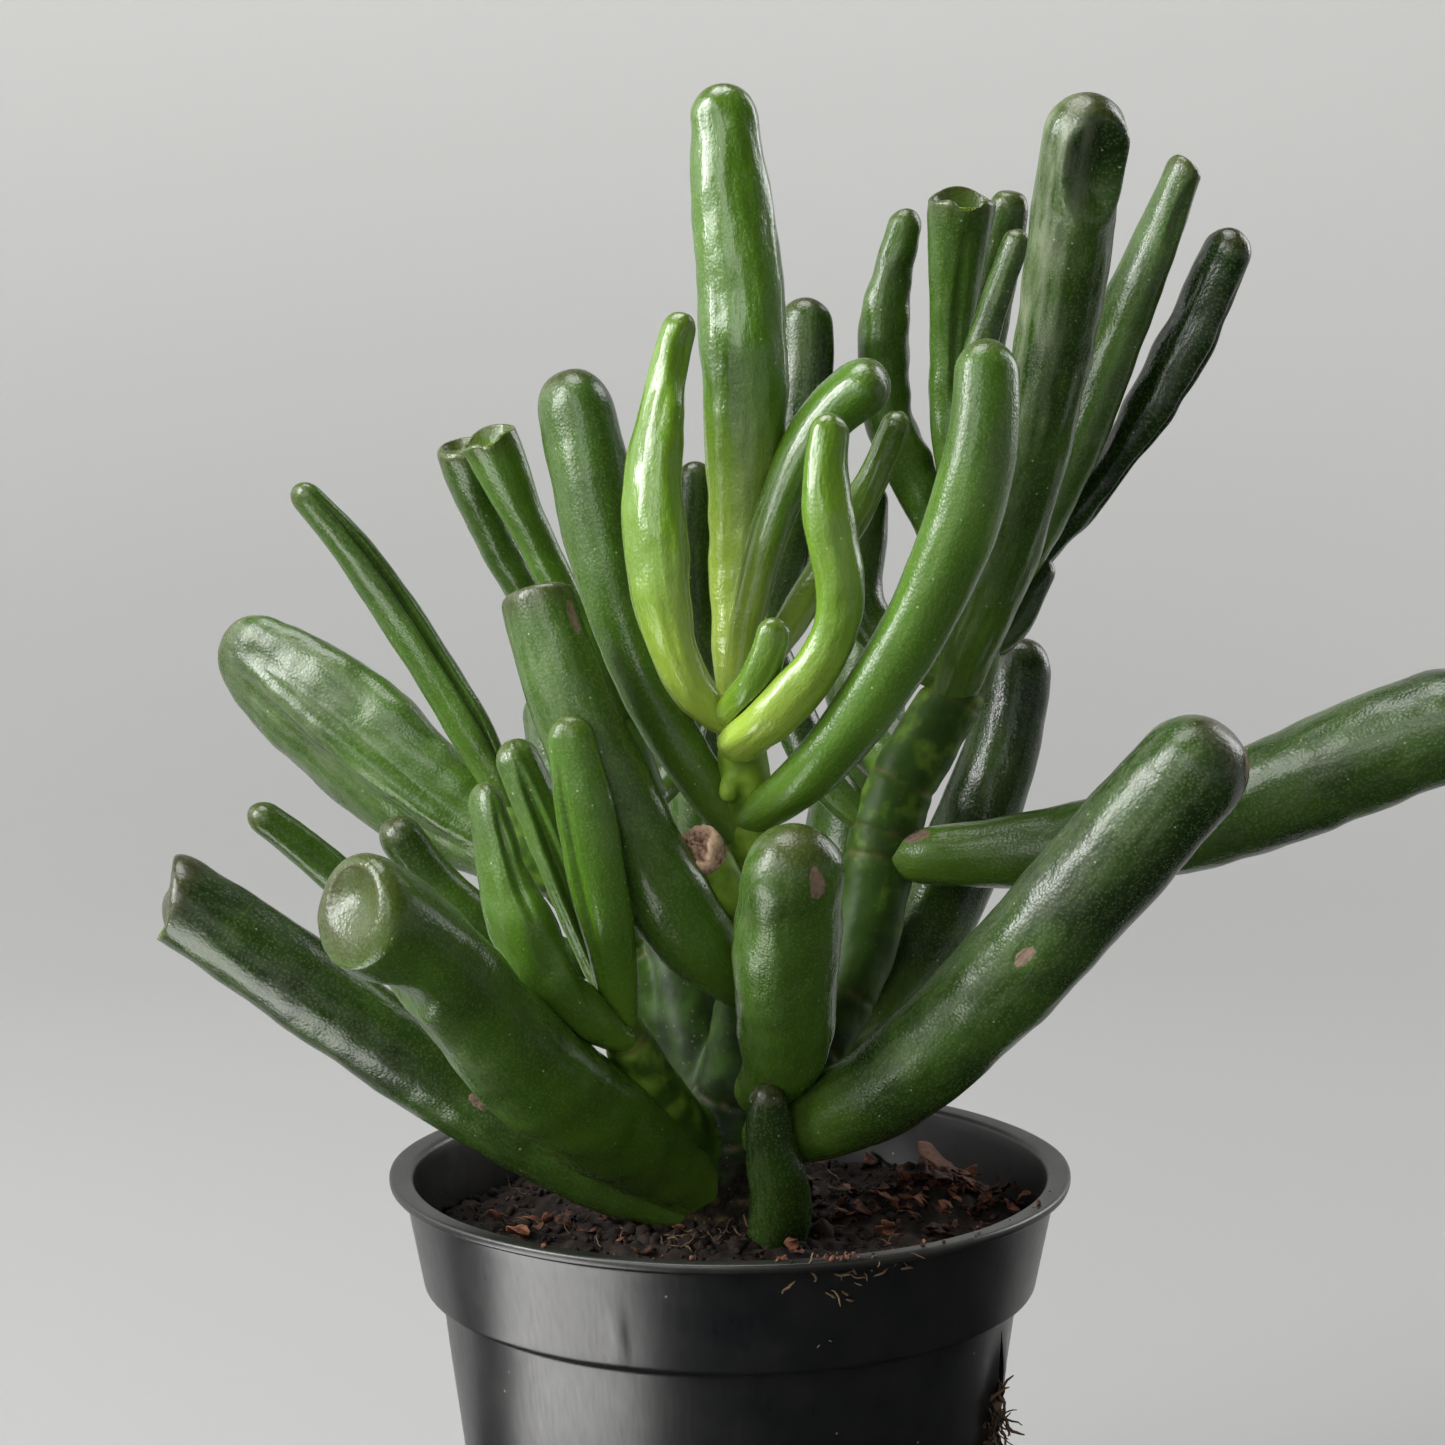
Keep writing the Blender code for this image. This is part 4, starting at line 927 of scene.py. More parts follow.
class JADE_OT_grow_stem(bpy.types.Operator):
    """Grow the stem and its branches as one skin, with leaf scars, bark and the pruned stub"""

    bl_idname = "jade.grow_stem"
    bl_label = "Grow stem"

    def execute(self, context):
        points, faces = [], []
        for shoot in STEMS + (SIDE_BUD,):
            skin = Skin(shoot, PLAIN, 0.9, 32)
            rings, sides = skin.points.shape[:2]
            poles = skin.points[[0, -1]].mean(axis=1)
            start = sum(len(rows) for rows in points)
            points.append(np.vstack([skin.points.reshape(-1, 3), poles]))
            faces += [tuple(k + start for k in face) for face in fan(rings, sides)]
        finish = stem_finish(context.scene.jade_plant)
        rough_cast = make_object("stem_cast", np.vstack(points), faces, finish)
        melt = rough_cast.modifiers.new("melt", "REMESH")
        melt.voxel_size = 0.38 * MM
        melt.use_smooth_shade = True
        blend = rough_cast.modifiers.new("blend", "SMOOTH")
        blend.factor = 0.6
        blend.iterations = 9
        mesh = evaluated(rough_cast, rough_cast)
        self.age_skin(mesh)
        mesh.shade_smooth()
        stem = bpy.data.objects.new("stem_skin", mesh)
        context.scene.collection.objects.link(stem)
        own(stem, "stem_skin", "stem")
        self.dry_stub()
        return {"FINISHED"}

    def age_skin(self, mesh):
        """Give the skin its scars, cork and colours by where it lies on the stems."""
        points = points_of(mesh)
        normals = np.zeros(len(points) * 3, np.float32)
        mesh.vertex_normals.foreach_get("vector", normals)
        normals = normals.reshape(-1, 3).astype(float)
        best = np.full(len(points), 1e9)
        age = np.zeros(len(points))
        ring = np.zeros(len(points))
        for shoot in STEMS:
            path = PATHS[shoot.name]
            apart = np.linalg.norm(points[:, None] - path.points[None, ::4], axis=2)
            station = apart.argmin(axis=1) * 4 / PATH_STEPS
            far = apart.min(axis=1) - half_sizes(shoot, station)[0]
            closer = far < best
            best = np.where(closer, far, best)
            age = np.where(closer, eased(STEM_AGES[shoot.name], station), age)
            scars = np.zeros(len(points))
            for leaf in LEAVES:
                if leaf.parent == shoot.name:
                    centre, _, _, ahead = path.at(leaf.at)
                    along = (points - centre[0]) @ ahead[0]
                    near = np.linalg.norm(points - centre[0], axis=1) < 9
                    scars += np.where(near, np.exp(-((along / 0.45) ** 2)), 0)
            ring = np.where(closer, np.clip(scars, 0, 1), ring)
        bark = 1 - ramp(points[:, 2] - SOIL_TOP, 3, 15)
        knobs = 0.55 * rough(points, 2.2, 3) + 0.3 * rough(points, 0.9, 7)
        lumps = 0.25 * rough(points, 4.0, 11) + 0.04 * rough(points, 1.0, 2)
        flare = 1.6 * (1 - ramp(points[:, 2] - SOIL_TOP, -2, 7))
        height = bark * (knobs + flare) + lumps - 0.22 * ring
        set_points(mesh, points + normals * height[:, None])
        ring *= 0.55 * ramp(rough(points, 1.5, 21), -0.4, 0.3)
        for key, rows in (("age", age), ("bark", bark), ("ring", ring)):
            mesh.attributes.new(key, "FLOAT", "POINT").data.foreach_set("value", rows.astype(np.float32))

    def dry_stub(self):
        """The dried cut on the pruned stub: a ragged rim round a spongy, swollen pith."""
        stub = next(shoot for shoot in STEMS if shoot.name == "pruned_stub")
        centre, side, _, ahead = (rows[0] for rows in section_axes(stub, 1.0))
        front = direction(-112, 0)
        centre = centre + 1.5 * front + 0.7 * ahead
        ahead = unit(ahead + 0.9 * front)
        side = unit(side - ahead * (side @ ahead))
        normal = np.cross(ahead, side)
        radius = stub.wide[-1] / 2
        angle = np.linspace(0, 2 * math.pi, 56, endpoint=False)
        rows, tint = [], []
        for share, lift in ((0.9, -3.0), (1.05, -1.2), (1.03, 0.15), (0.93, 0.45), (0.82, 0.3),
                            (0.7, 0.3), (0.56, 0.6), (0.42, 0.8), (0.28, 0.9), (0.14, 0.8)):
            flat = side * np.cos(angle)[:, None] + normal * np.sin(angle)[:, None]
            rows.append(centre + flat * radius * share + ahead * lift)
            tint.append(np.full(len(angle), 0.9 if 0.8 < share < 1.04 else 0.35))
        rows = np.array(rows)
        ragged = rough(rows.reshape(-1, 3), 0.55, 4).reshape(rows.shape[:2])
        slow = rough(rows.reshape(-1, 3), 1.6, 9).reshape(rows.shape[:2])
        keep = ramp(np.arange(len(rows)), 0, 3)[:, None]
        rows = rows + ahead * ((0.9 * ragged + 1.2 * slow) * keep)[..., None]
        poles = rows[[0, -1]].mean(axis=1)
        count = len(angle)
        shades = np.concatenate([np.ravel(tint) + 0.3 * ragged.ravel(), (0.3, 0.3)])
        finish = litter_finish("dry_pith", linear("4a2c20"), linear("c9ab90"), 0.5)
        cap = make_object("pruned_stub_face", np.vstack([rows.reshape(-1, 3), poles]),
                          fan(len(rows), count), finish, {"tint": shades})
        own(cap, "stem_skin")


class JADE_OT_grow_leaves(bpy.types.Operator):
    """Grow every leaf, mature and young, from its heel to its tip"""

    bl_idname = "jade.grow_leaves"
    bl_label = "Grow leaves"

    def execute(self, context):
        looks = context.scene.jade_plant
        mature = leaf_finish(
            "mature_leaf_skin", looks.mature_dark, looks.mature_bright, looks.mature_heel,
            {"Roughness": 0.2, "Subsurface Weight": 0.15, "Subsurface Scale": 1.0 * MM,
             "Subsurface Radius": (0.6, 1.0, 0.2), "IOR": 1.42}, 0.35, 0.5, 0.28)
        young = leaf_finish(
            "young_leaf_skin", looks.young_dark, looks.young_bright, looks.young_heel,
            {"Roughness": 0.2, "Subsurface Weight": 0.3, "Subsurface Scale": 1.5 * MM,
             "Subsurface Radius": (0.7, 1.0, 0.2), "Coat Weight": 0.4, "Coat Roughness": 0.14,
             "IOR": 1.45}, 0.75, 0.72, 0.5)
        for k, leaf in enumerate(LEAVES):
            look = LOOKS.get(leaf.name, PLAIN)
            skin = leaf_skin(leaf, look, 17.0 * k, LEAVES[:k])
            scab = np.zeros(skin.along.shape)
            for mark in look.scabs:
                scab = np.maximum(scab, 1 - ramp(skin.distance(mark), 0.6, 1.3))
            # Painted sheen: the pale waxy film is drawn stronger on the side that faces the key lamp
            lit = ramp(skin.out @ direction(-155, 25), -0.3, 0.8)
            share = skin.rows[:, 1][:, None]
            edge = np.exp(-(((share - 0.97 * max(leaf.cut, 0.25)) / 0.1) ** 2))
            tip_only = ramp(skin.along * skin.length, skin.length - 3.0, skin.length - 0.3)
            values = {
                "leaf_place": skin.flat_place + (0, 0, 97.0 * k),
                "along": skin.along,
                "tone": look.tone + 0.35 * (0.4 - skin.along),
                "wax_bloom_and_painted_sheen": look.wax_bloom_and_painted_sheen * (0.4 + 0.6 * ramp(skin.along, 0.3, 0.8)) * lit,
                "scab": scab,
                "rim": np.maximum(0.6 * edge * tip_only, 0.4 * tip_only),
            }
            piece = skin_object(f"{leaf.name}_skin", skin, young if leaf.young else mature, values)
            own(piece, "young_leaf" if leaf.young else "mature_leaf", leaf.name)
        return {"FINISHED"}


def filleted(profile, radius, steps=5):
    """A profile with each inner corner rounded to a radius, or less where its sides are short."""
    corners = [np.array(p, float) for p in profile]
    made = [corners[0]]
    for before, corner, after in zip(corners, corners[1:], corners[2:]):
        to_before, to_after = before - corner, after - corner
        short = min(np.linalg.norm(to_before), np.linalg.norm(to_after)) * 0.45
        reach = min(radius, short)
        start = corner + unit(to_before) * reach
        end = corner + unit(to_after) * reach
        for k in range(steps + 1):
            t = k / steps
            made.append(start * (1 - t) ** 2 + corner * 2 * t * (1 - t) + end * t**2)
    made.append(corners[-1])
    return made


def stepped(profile, longest):
    """A profile with points added so that no side is longer than a length."""
    made = [profile[0]]
    for low, high in zip(profile, profile[1:]):
        count = max(1, math.ceil(np.linalg.norm(high - low) / longest))
        made += [low + (high - low) * (k + 1) / count for k in range(count)]
    return np.array(made)


def lathe(profile, sides):
    """Rings of points for a profile of (radius, height) rows, with the angle of each point."""
    angle = np.linspace(0, 2 * math.pi, sides, endpoint=False)
    radius, height = profile[:, :1], profile[:, 1:]
    rows = np.stack([radius * np.cos(angle), radius * np.sin(angle), height + 0 * angle], axis=-1)
    return rows, np.repeat(angle[None], len(profile), axis=0)


class JADE_OT_mould_pot(bpy.types.Operator):
    """Mould the nursery pot with its lip, band, drain holes and torn side"""

    bl_idname = "jade.mould_pot"
    bl_label = "Mould pot"

    def execute(self, context):
        looks = context.scene.jade_pot
        finish = plastic_finish(looks)
        wall = looks.wall / MM
        band_top = RIM_RADIUS - looks.lip_width / MM
        band_low = band_top - looks.band_taper / MM
        body_top = band_low - looks.band_step / MM
        foot = looks.foot_radius / MM
        under_lip = POT_HEIGHT - looks.lip_thickness / MM
        band_foot = under_lip - looks.band_height / MM
        floor = 1.6
        outline = [
            (4, floor), (foot - wall, floor), (body_top - wall, band_foot - wall),
            (band_low - wall, band_foot), (band_top - wall, POT_HEIGHT - 0.25), (RIM_RADIUS, POT_HEIGHT),
            (RIM_RADIUS - 0.1, under_lip), (band_top, under_lip), (band_low, band_foot + 0.1),
            (body_top, band_foot - 0.4), (foot, 2), (foot - 2, 0), (4, 0),
        ]
        profile = stepped(filleted(outline, 0.7), 1.4)
        rows, angle = lathe(profile, 300)
        height = rows[..., 2]
        wander = np.stack([np.cos(angle), np.sin(angle), height / 60], axis=-1)
        slow = rough(wander.reshape(-1, 3), 0.9, 5).reshape(angle.shape)
        fast = rough(wander.reshape(-1, 3), 0.22, 8).reshape(angle.shape)
        up = ramp(height, 20, POT_HEIGHT)
        dent = np.exp(-(((np.degrees(angle) - 250.6) / 0.9) ** 2) - ((height - band_foot - 4) / 3) ** 2)
        grow = (0.5 * slow + 0.09 * fast) * up + 0.2 * dent
        grow += self.torn_side(angle, height, band_foot, looks.split_azimuth)
        grow = np.where(rows[..., 0] ** 2 + rows[..., 1] ** 2 > 25**2, grow, 0)
        rows[..., 0] += np.cos(angle) * grow
        rows[..., 1] += np.sin(angle) * grow
        rows[..., 2] += 0.35 * slow * ramp(height, 55, POT_HEIGHT)
        rings, sides = angle.shape
        poles = np.array([(0, 0, floor), (0, 0, 0)])
        faces = fan(rings, sides)
        pot = make_object("pot_shell", np.vstack([rows.reshape(-1, 3), poles]), faces, finish)
        cutters = [self.tear(band_foot, body_top, looks.split_azimuth)]
        for k in range(DRAIN_HOLES):
            a = 2 * math.pi * k / DRAIN_HOLES + math.radians(4.5)
            cutters.append(self.drill(DRAIN_RING * math.cos(a), DRAIN_RING * math.sin(a)))
        for cutter in cutters:
            cut = pot.modifiers.new(cutter.name, "BOOLEAN")
            cut.object = cutter
        mesh = evaluated(pot, pot, *cutters)
        mesh.set_sharp_from_angle(angle=math.radians(38))
        shell = bpy.data.objects.new("pot_shell", mesh)
        context.scene.collection.objects.link(shell)
        own(shell, "pot_plastic", "pot")
        return {"FINISHED"}

    def torn_side(self, angle, height, band_foot, azimuth):
        """How far the wall beside the tear is pushed out by the roots behind it."""
        away = (angle - azimuth + math.pi) % (2 * math.pi) - math.pi
        low, high = band_foot - 34, band_foot - 1
        within = ramp(height, low, low + 14) * (1 - ramp(height, high - 8, high))
        right = np.exp(-(((np.degrees(away) - 2) / 4.5) ** 2))
        left = np.exp(-(((np.degrees(away) + 3) / 3.5) ** 2))
        return within * (0.9 * right - 0.25 * left)

    def tear(self, band_foot, body_top, azimuth):
        """A cutter for the tear: a lens that wanders a little on its way down the wall."""
        made = bmesh.new()
        rows = []
        high, low = band_foot - 2.6, band_foot - 32.6
        for k in range(15):
            t = k / 14
            half = 0.08 + 0.8 * math.sin(math.pi * t) ** 0.7
            middle = 0.7 * math.sin(2.6 * t + 0.4) - 0.3
            z = high + (low - high) * t
            corners = ((-6, -half), (6, -half), (6, half), (-6, half))
            turn = Matrix.Rotation(azimuth, 3, "Z")
            rows.append([
                made.verts.new(turn @ Vector((body_top - 2 + x, middle + y, z)) * MM)
                for x, y in corners
            ])
        for up, down in zip(rows, rows[1:]):
            for k in range(4):
                n = (k + 1) % 4
                made.faces.new((up[k], up[n], down[n], down[k]))
        made.faces.new(rows[0][::-1])
        made.faces.new(rows[-1])
        bmesh.ops.recalc_face_normals(made, faces=made.faces)
        return self.cutter("tear", made)

    def drill(self, x, y):
        """A cutter for one drain hole."""
        made = bmesh.new()
        bmesh.ops.create_cone(made, cap_ends=True, segments=32, radius1=2.4 * MM, radius2=2.4 * MM,
                              depth=6 * MM)
        bmesh.ops.translate(made, verts=made.verts, vec=(x * MM, y * MM, 0))
        return self.cutter("drain", made)

    def cutter(self, name, made):
        """A closed shape as an object that can be cut away, to be removed once it has cut."""
        mesh = bpy.data.meshes.new(name)
        made.to_mesh(mesh)
        made.free()
        tool = bpy.data.objects.new(name, mesh)
        bpy.context.scene.collection.objects.link(tool)
        return tool


def body_radius(looks, height):
    """Outer radius of the pot's body at a height, in millimetres, from the pot's settings."""
    foot = looks.foot_radius / MM
    top = RIM_RADIUS - (looks.lip_width + looks.band_taper + looks.band_step) / MM
    band_foot = POT_HEIGHT - (looks.lip_thickness + looks.band_height) / MM
    return foot + (top - foot) * (height - 2) / (band_foot - 2)


def band_radius(looks, height):
    """Radius just outside the pot's band at a height, or the lip's radius if it is on the lip."""
    under_lip = POT_HEIGHT - looks.lip_thickness / MM
    if height >= under_lip - 0.2:
        return RIM_RADIUS
    share = (under_lip - height) / (looks.band_height / MM)
    return RIM_RADIUS - looks.lip_width / MM + 0.15 - looks.band_taper / MM * share


def soil_height(x, y):
    """Height of the soil at a point, with its banks at the stem and at the dry leaf."""
    edge = RIM_RADIUS - 3.2
    away = np.hypot(x - SEAT[0], y - SEAT[1])
    bank = 2.6 * np.exp(-((away / 9.5) ** 2))
    heap = 4.6 * np.exp(-(((x - HEAP[0]) / 8) ** 2) - ((y - HEAP[1]) / 6.5) ** 2)
    crown = SOIL_MOUND * np.maximum(0, 1 - (x * x + y * y) / edge**2)
    flat = np.stack([x, y, 0 * x], axis=-1).reshape(-1, 3)
    waves = 0.9 * rough(flat, 9.0, 2) + 0.9 * rough(flat, 3.6, 6) + 0.6 * rough(flat, 1.5, 4)
    return SOIL_TOP - 1.2 + crown + bank + heap + waves.reshape(np.shape(x))


def joined(name, bits, finish):
    """One object from many (points, faces, tint) bits."""
    points, faces, tints, start = [], [], [], 0
    for rows, quads, tint in bits:
        points.append(rows)
        faces += [tuple(k + start for k in face) for face in quads]
        tints.append(np.full(len(rows), tint))
        start += len(rows)
    return make_object(name, np.vstack(points), faces, finish, {"tint": np.concatenate(tints)})


def strand(line, radius, sides=5, flat=1.0):
    """Points and faces of a thin tube along a line, closed to a point at both ends."""
    line = np.asarray(line, float)
    ahead = unit(np.gradient(line, axis=0))
    side = unit(np.cross(ahead, (0.31, 0.17, 0.93)))
    normal = np.cross(ahead, side)
    angle = np.linspace(0, 2 * math.pi, sides, endpoint=False)
    taper = np.sin(np.linspace(0.25, math.pi - 0.25, len(line))) ** 0.6 * radius
    rings = (
        line[:, None] + side[:, None] * (np.cos(angle) * taper[:, None])[..., None]
        + normal[:, None] * (np.sin(angle) * taper[:, None] * flat)[..., None]
    )
    points = np.vstack([rings.reshape(-1, 3), line[:1], line[-1:]])
    return points, fan(len(line), sides)


def crumb(centre, size, draw):
    """Points and faces of a lump of peat."""
    ball = bmesh.new()
    bmesh.ops.create_icosphere(ball, subdivisions=1, radius=1)
    points = np.array([v.co for v in ball.verts])
    faces = [tuple(v.index for v in face.verts) for face in ball.faces]
    ball.free()
    squash = draw.uniform(0.55, 1.15, 3) * size
    jagged = 1 + 0.3 * draw.normal(size=(len(points), 1)).clip(-1, 1)
    return centre + points * squash * jagged, faces


def wandering(start, heading, length, bend, draw, count=9):
    """A line of points that starts with a heading and turns at random as it goes."""
    line = [np.asarray(start, float)]
    ahead = unit(heading)
    for _ in range(count):
        ahead = unit(ahead + draw.normal(size=3) * bend)
        line.append(line[-1] + ahead * length / count)
    return np.array(line)


def spots(count, draw, inner=5.5, outer=37.6):
    """Places on the soil, as an array of points."""
    radius = np.sqrt(draw.uniform(inner**2, outer**2, count))
    angle = draw.uniform(0, 2 * math.pi, count)
    x, y = radius * np.cos(angle), radius * np.sin(angle)
    return np.stack([x, y, soil_height(x, y)], axis=1)


class JADE_OT_fill_soil(bpy.types.Operator):
    """Fill the pot with peat and strew its crumbs and fibres over it"""

    bl_idname = "jade.fill_soil"
    bl_label = "Fill soil"

    def execute(self, context):
        looks = context.scene.jade_soil
        draw = np.random.default_rng(11)
        peat = litter_finish("damp_peat", looks.peat_dark, looks.peat_light, 1.1)
        self.bed(peat)
        self.crumbs(looks.crumbs, peat, draw)
        fibre = litter_finish("dry_fibre", linear("261b13"), linear("6b5842"), 0.8)
        self.fibres(looks.fibres, fibre, draw)
        self.root_mat(looks.fibres, fibre, draw)
        return {"FINISHED"}

    def bed(self, finish):
        """The peat itself: a rough top and a plain side that stays inside the pot."""
        radii = np.linspace(0.4, 37.0, 100)
        rows, _ = lathe(np.stack([radii, 0 * radii], axis=1), 260)
        rows[..., 2] = soil_height(rows[..., 0], rows[..., 1])
        wall = stepped(np.array([(36.6, SOIL_TOP - 4), (33.6, 58.5), (31.5, 40.0), (26.0, 3.0),
                                 (25.5, 2.1), (1.0, 2.1)]), 6)
        under, _ = lathe(wall, 260)
        rings = np.concatenate([rows, under])
        poles = np.array([rings[0].mean(axis=0), (0, 0, 2.1)])
        points = np.vstack([rings.reshape(-1, 3), poles])
        tint = 0.28 + 0.5 * rough(points, 2.6, 8)
        faces = [face[::-1] for face in fan(len(rings), 260)]
        bed = make_object("soil_bed", points, faces, finish, {"tint": tint})
        own(bed, "potting_soil", "soil")

    def crumbs(self, count, finish, draw):
        bits = []
        for place in spots(count, draw):
            size = 0.22 + 0.55 * draw.random() ** 3
            points, faces = crumb(place + (0, 0, 0.3 * size), size, draw)
            bits.append((points, faces, draw.uniform(0.0, 0.6)))
        for _ in range(count // 9):
            angle, radius = draw.uniform(0, 2 * math.pi), 5.5 + 8 * draw.random()
            x, y = SEAT[0] + radius * math.cos(angle), SEAT[1] + radius * math.sin(angle)
            z = float(soil_height(np.array([x]), np.array([y]))[0])
            points, faces = crumb(np.array((x, y, z)), draw.uniform(0.5, 1.5), draw)
            bits.append((points, faces, draw.uniform(0.1, 0.8)))
        own(joined("soil_crumbs", bits, finish), "potting_soil")

    def fibres(self, count, finish, draw):
        bits = []
        for place in spots(count, draw, 6, 35):
            heading = np.append(draw.normal(size=2), draw.uniform(-0.1, 0.1))
            line = wandering(place + (0, 0, 0.2), heading, draw.uniform(1.5, 5), 0.25, draw)
            line[:, 2] = np.maximum(line[:, 2], soil_height(line[:, 0], line[:, 1]) + 0.15)
            bits.append((*strand(line, draw.uniform(0.04, 0.1)), draw.random()))
        own(joined("soil_fibres", bits, finish), "potting_soil")

    def root_mat(self, count, finish, draw):
        """Fine roots matted over the flared foot of the stem."""
        bits = []
        for _ in range(count):
            angle, radius = draw.uniform(0, 2 * math.pi), 4.5 + 8 * draw.random() ** 1.4
            x, y = SEAT[0] + radius * math.cos(angle), SEAT[1] + radius * math.sin(angle)
            z = float(soil_height(np.array([x]), np.array([y]))[0]) + max(0, 7.5 - radius) * draw.random()
            heading = (draw.normal(), draw.normal(), 0.35 * draw.normal())
            line = wandering((x, y, z), heading, draw.uniform(2, 6), 0.45, draw)
            line[:, 2] = np.maximum(line[:, 2], soil_height(line[:, 0], line[:, 1]) + 0.2)
            bits.append((*strand(line, draw.uniform(0.06, 0.15)), draw.random()))
        own(joined("root_mat", bits, finish), "root_fibre")


class JADE_OT_scatter_litter(bpy.types.Operator):
    """Heap dry shreds and the largest curled leaf on the soil, and stick bits to the lip"""

    bl_idname = "jade.scatter_litter"
    bl_label = "Scatter litter"

    def execute(self, context):
        looks = context.scene.jade_soil
        draw = np.random.default_rng(12)
        husk = litter_finish("dry_leaf_shreds", looks.shred_dark, looks.shred_light, 0.7, 0.75)
        self.shreds(looks.shreds, husk, draw)
        self.dry_leaf(husk, draw)
        fibre = litter_finish("dry_root_hair", linear("261b13"), linear("6b5842"), 0.8)
        self.lip_debris(fibre, husk, draw)
        return {"FINISHED"}

    def shreds(self, count, finish, draw):
        bits = []
        for k in range(count):
            if k < count * 0.7:
                x, y = HEAP[0] + 6.5 * draw.normal(), HEAP[1] + 4.5 * draw.normal()
            else:
                x, y = spots(1, draw, 8, 35)[0, :2]
            if math.hypot(x, y) > 36.5:
                continue
            z = float(soil_height(np.array([x]), np.array([y]))[0]) + draw.uniform(0.1, 1.0)
            heading = np.append(draw.normal(size=2), draw.uniform(-0.15, 0.3))
            line = wandering((x, y, z), heading, draw.uniform(1.5, 5), 0.6, draw, 8)
            points, faces = strand(line, draw.uniform(0.4, 1.5), 10, 0.14)
            points[:, 2] += 0.5 * rough(points, 1.1, k)
            bits.append((points, faces, draw.random() ** 1.6))
        own(joined("dry_shreds", bits, finish), "dry_leaf_skin")

    def dry_leaf(self, finish, draw):
        """The largest curled leaf on the heap, thin and cupped."""
        low, high = (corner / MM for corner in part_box("dry_leaf"))
        start = np.array((high.x - 2, low.y + 1.5, low.z + 1.0))
        line = wandering(start, (-0.85, 0.45, 0.35), 15, 0.10, draw, 14)
        line[:, 2] = np.maximum(line[:, 2], soil_height(line[:, 0], line[:, 1]) + 0.5)
        points, faces = strand(line, 2.6, 20, 0.12)
        curl = rough(points, 2.2, 3)
        points[:, 2] += 0.5 * curl
        own(joined("dry_leaf_curl", [(points, faces, 0.6)], finish), "dry_leaf_skin", "dry_leaf")

    def lip_debris(self, fibre, husk, draw):
        """Peat and husk stuck to the lip and the band at the front."""
        pot = bpy.context.scene.jade_pot
        bits, strands = [], []
        for k in range(46):
            angle = math.radians(draw.normal(-73, 1.6) if k < 22 else draw.normal(-78, 30))
            radius = RIM_RADIUS - draw.uniform(0.1, 2.6)
            centre = np.array((radius * math.cos(angle), radius * math.sin(angle), POT_HEIGHT + 0.05))
            points, faces = crumb(centre, draw.uniform(0.1, 0.4), draw)
            bits.append((points, faces, 0.7 * draw.random()))
        for _ in range(26):
            angle = math.radians(draw.normal(-70, 5))
            z = POT_HEIGHT - draw.uniform(0.0, 12) * draw.random()
            radius = band_radius(pot, z)
            centre = np.array((radius * math.cos(angle), radius * math.sin(angle), z))
            heading = (-math.sin(angle), math.cos(angle), draw.normal())
            line = wandering(centre, heading, draw.uniform(0.8, 2.4), 0.3, draw, 6)
            strands.append((*strand(line, draw.uniform(0.08, 0.2)), draw.uniform(0.4, 1.0)))
        own(joined("lip_crumbs", bits, husk), "dry_leaf_skin")
        own(joined("lip_fibres", strands, fibre), "potting_soil")


class JADE_OT_grow_root_tuft(bpy.types.Operator):
    """Push fine roots out through the tear, to mat against the wall outside"""

    bl_idname = "jade.grow_root_tuft"
    bl_label = "Grow root tuft"

    def execute(self, context):
        draw = np.random.default_rng(13)
        pot = context.scene.jade_pot
        azimuth = pot.split_azimuth
        low, high = (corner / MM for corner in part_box("root_tuft"))
        finish = litter_finish("dry_root_fibre", linear("1a130e"), linear("5d4a38"), 0.6)
        bits = []
        outward = np.array((math.cos(azimuth), math.sin(azimuth), 0))
        across = np.array((-math.sin(azimuth), math.cos(azimuth), 0))
        for _ in range(150):
            z = draw.uniform(low.z + 1, high.z - 1)
            wall = body_radius(pot, z)
            swell = math.sqrt(max(0.05, 1 - ((z - (low.z + high.z) / 2) / (high.z - low.z) * 2) ** 2))
            start = outward * (wall + draw.uniform(-1.6, 1.8) * swell) + across * draw.normal() * 0.8 * swell
            start[2] = z
            heading = across * draw.normal() * 0.3 + np.array((0, 0, draw.choice((-1, 1))))
            line = wandering(start, heading, draw.uniform(2, 6), 0.22, draw, 8)
            bits.append((*strand(line, draw.uniform(0.08, 0.28)), draw.random()))
        for _ in range(110):
            z = draw.uniform(low.z + 2, high.z - 2)
            wall = body_radius(pot, z)
            centre = outward * (wall + draw.uniform(-1.2, 1.2)) + across * draw.normal() * 0.7
            centre[2] = z
            bits.append((*crumb(centre, draw.uniform(0.4, 0.9), draw), draw.uniform(0, 0.5)))
        own(joined("root_tuft_fibres", bits, finish), "root_fibre", "root_tuft")
        return {"FINISHED"}


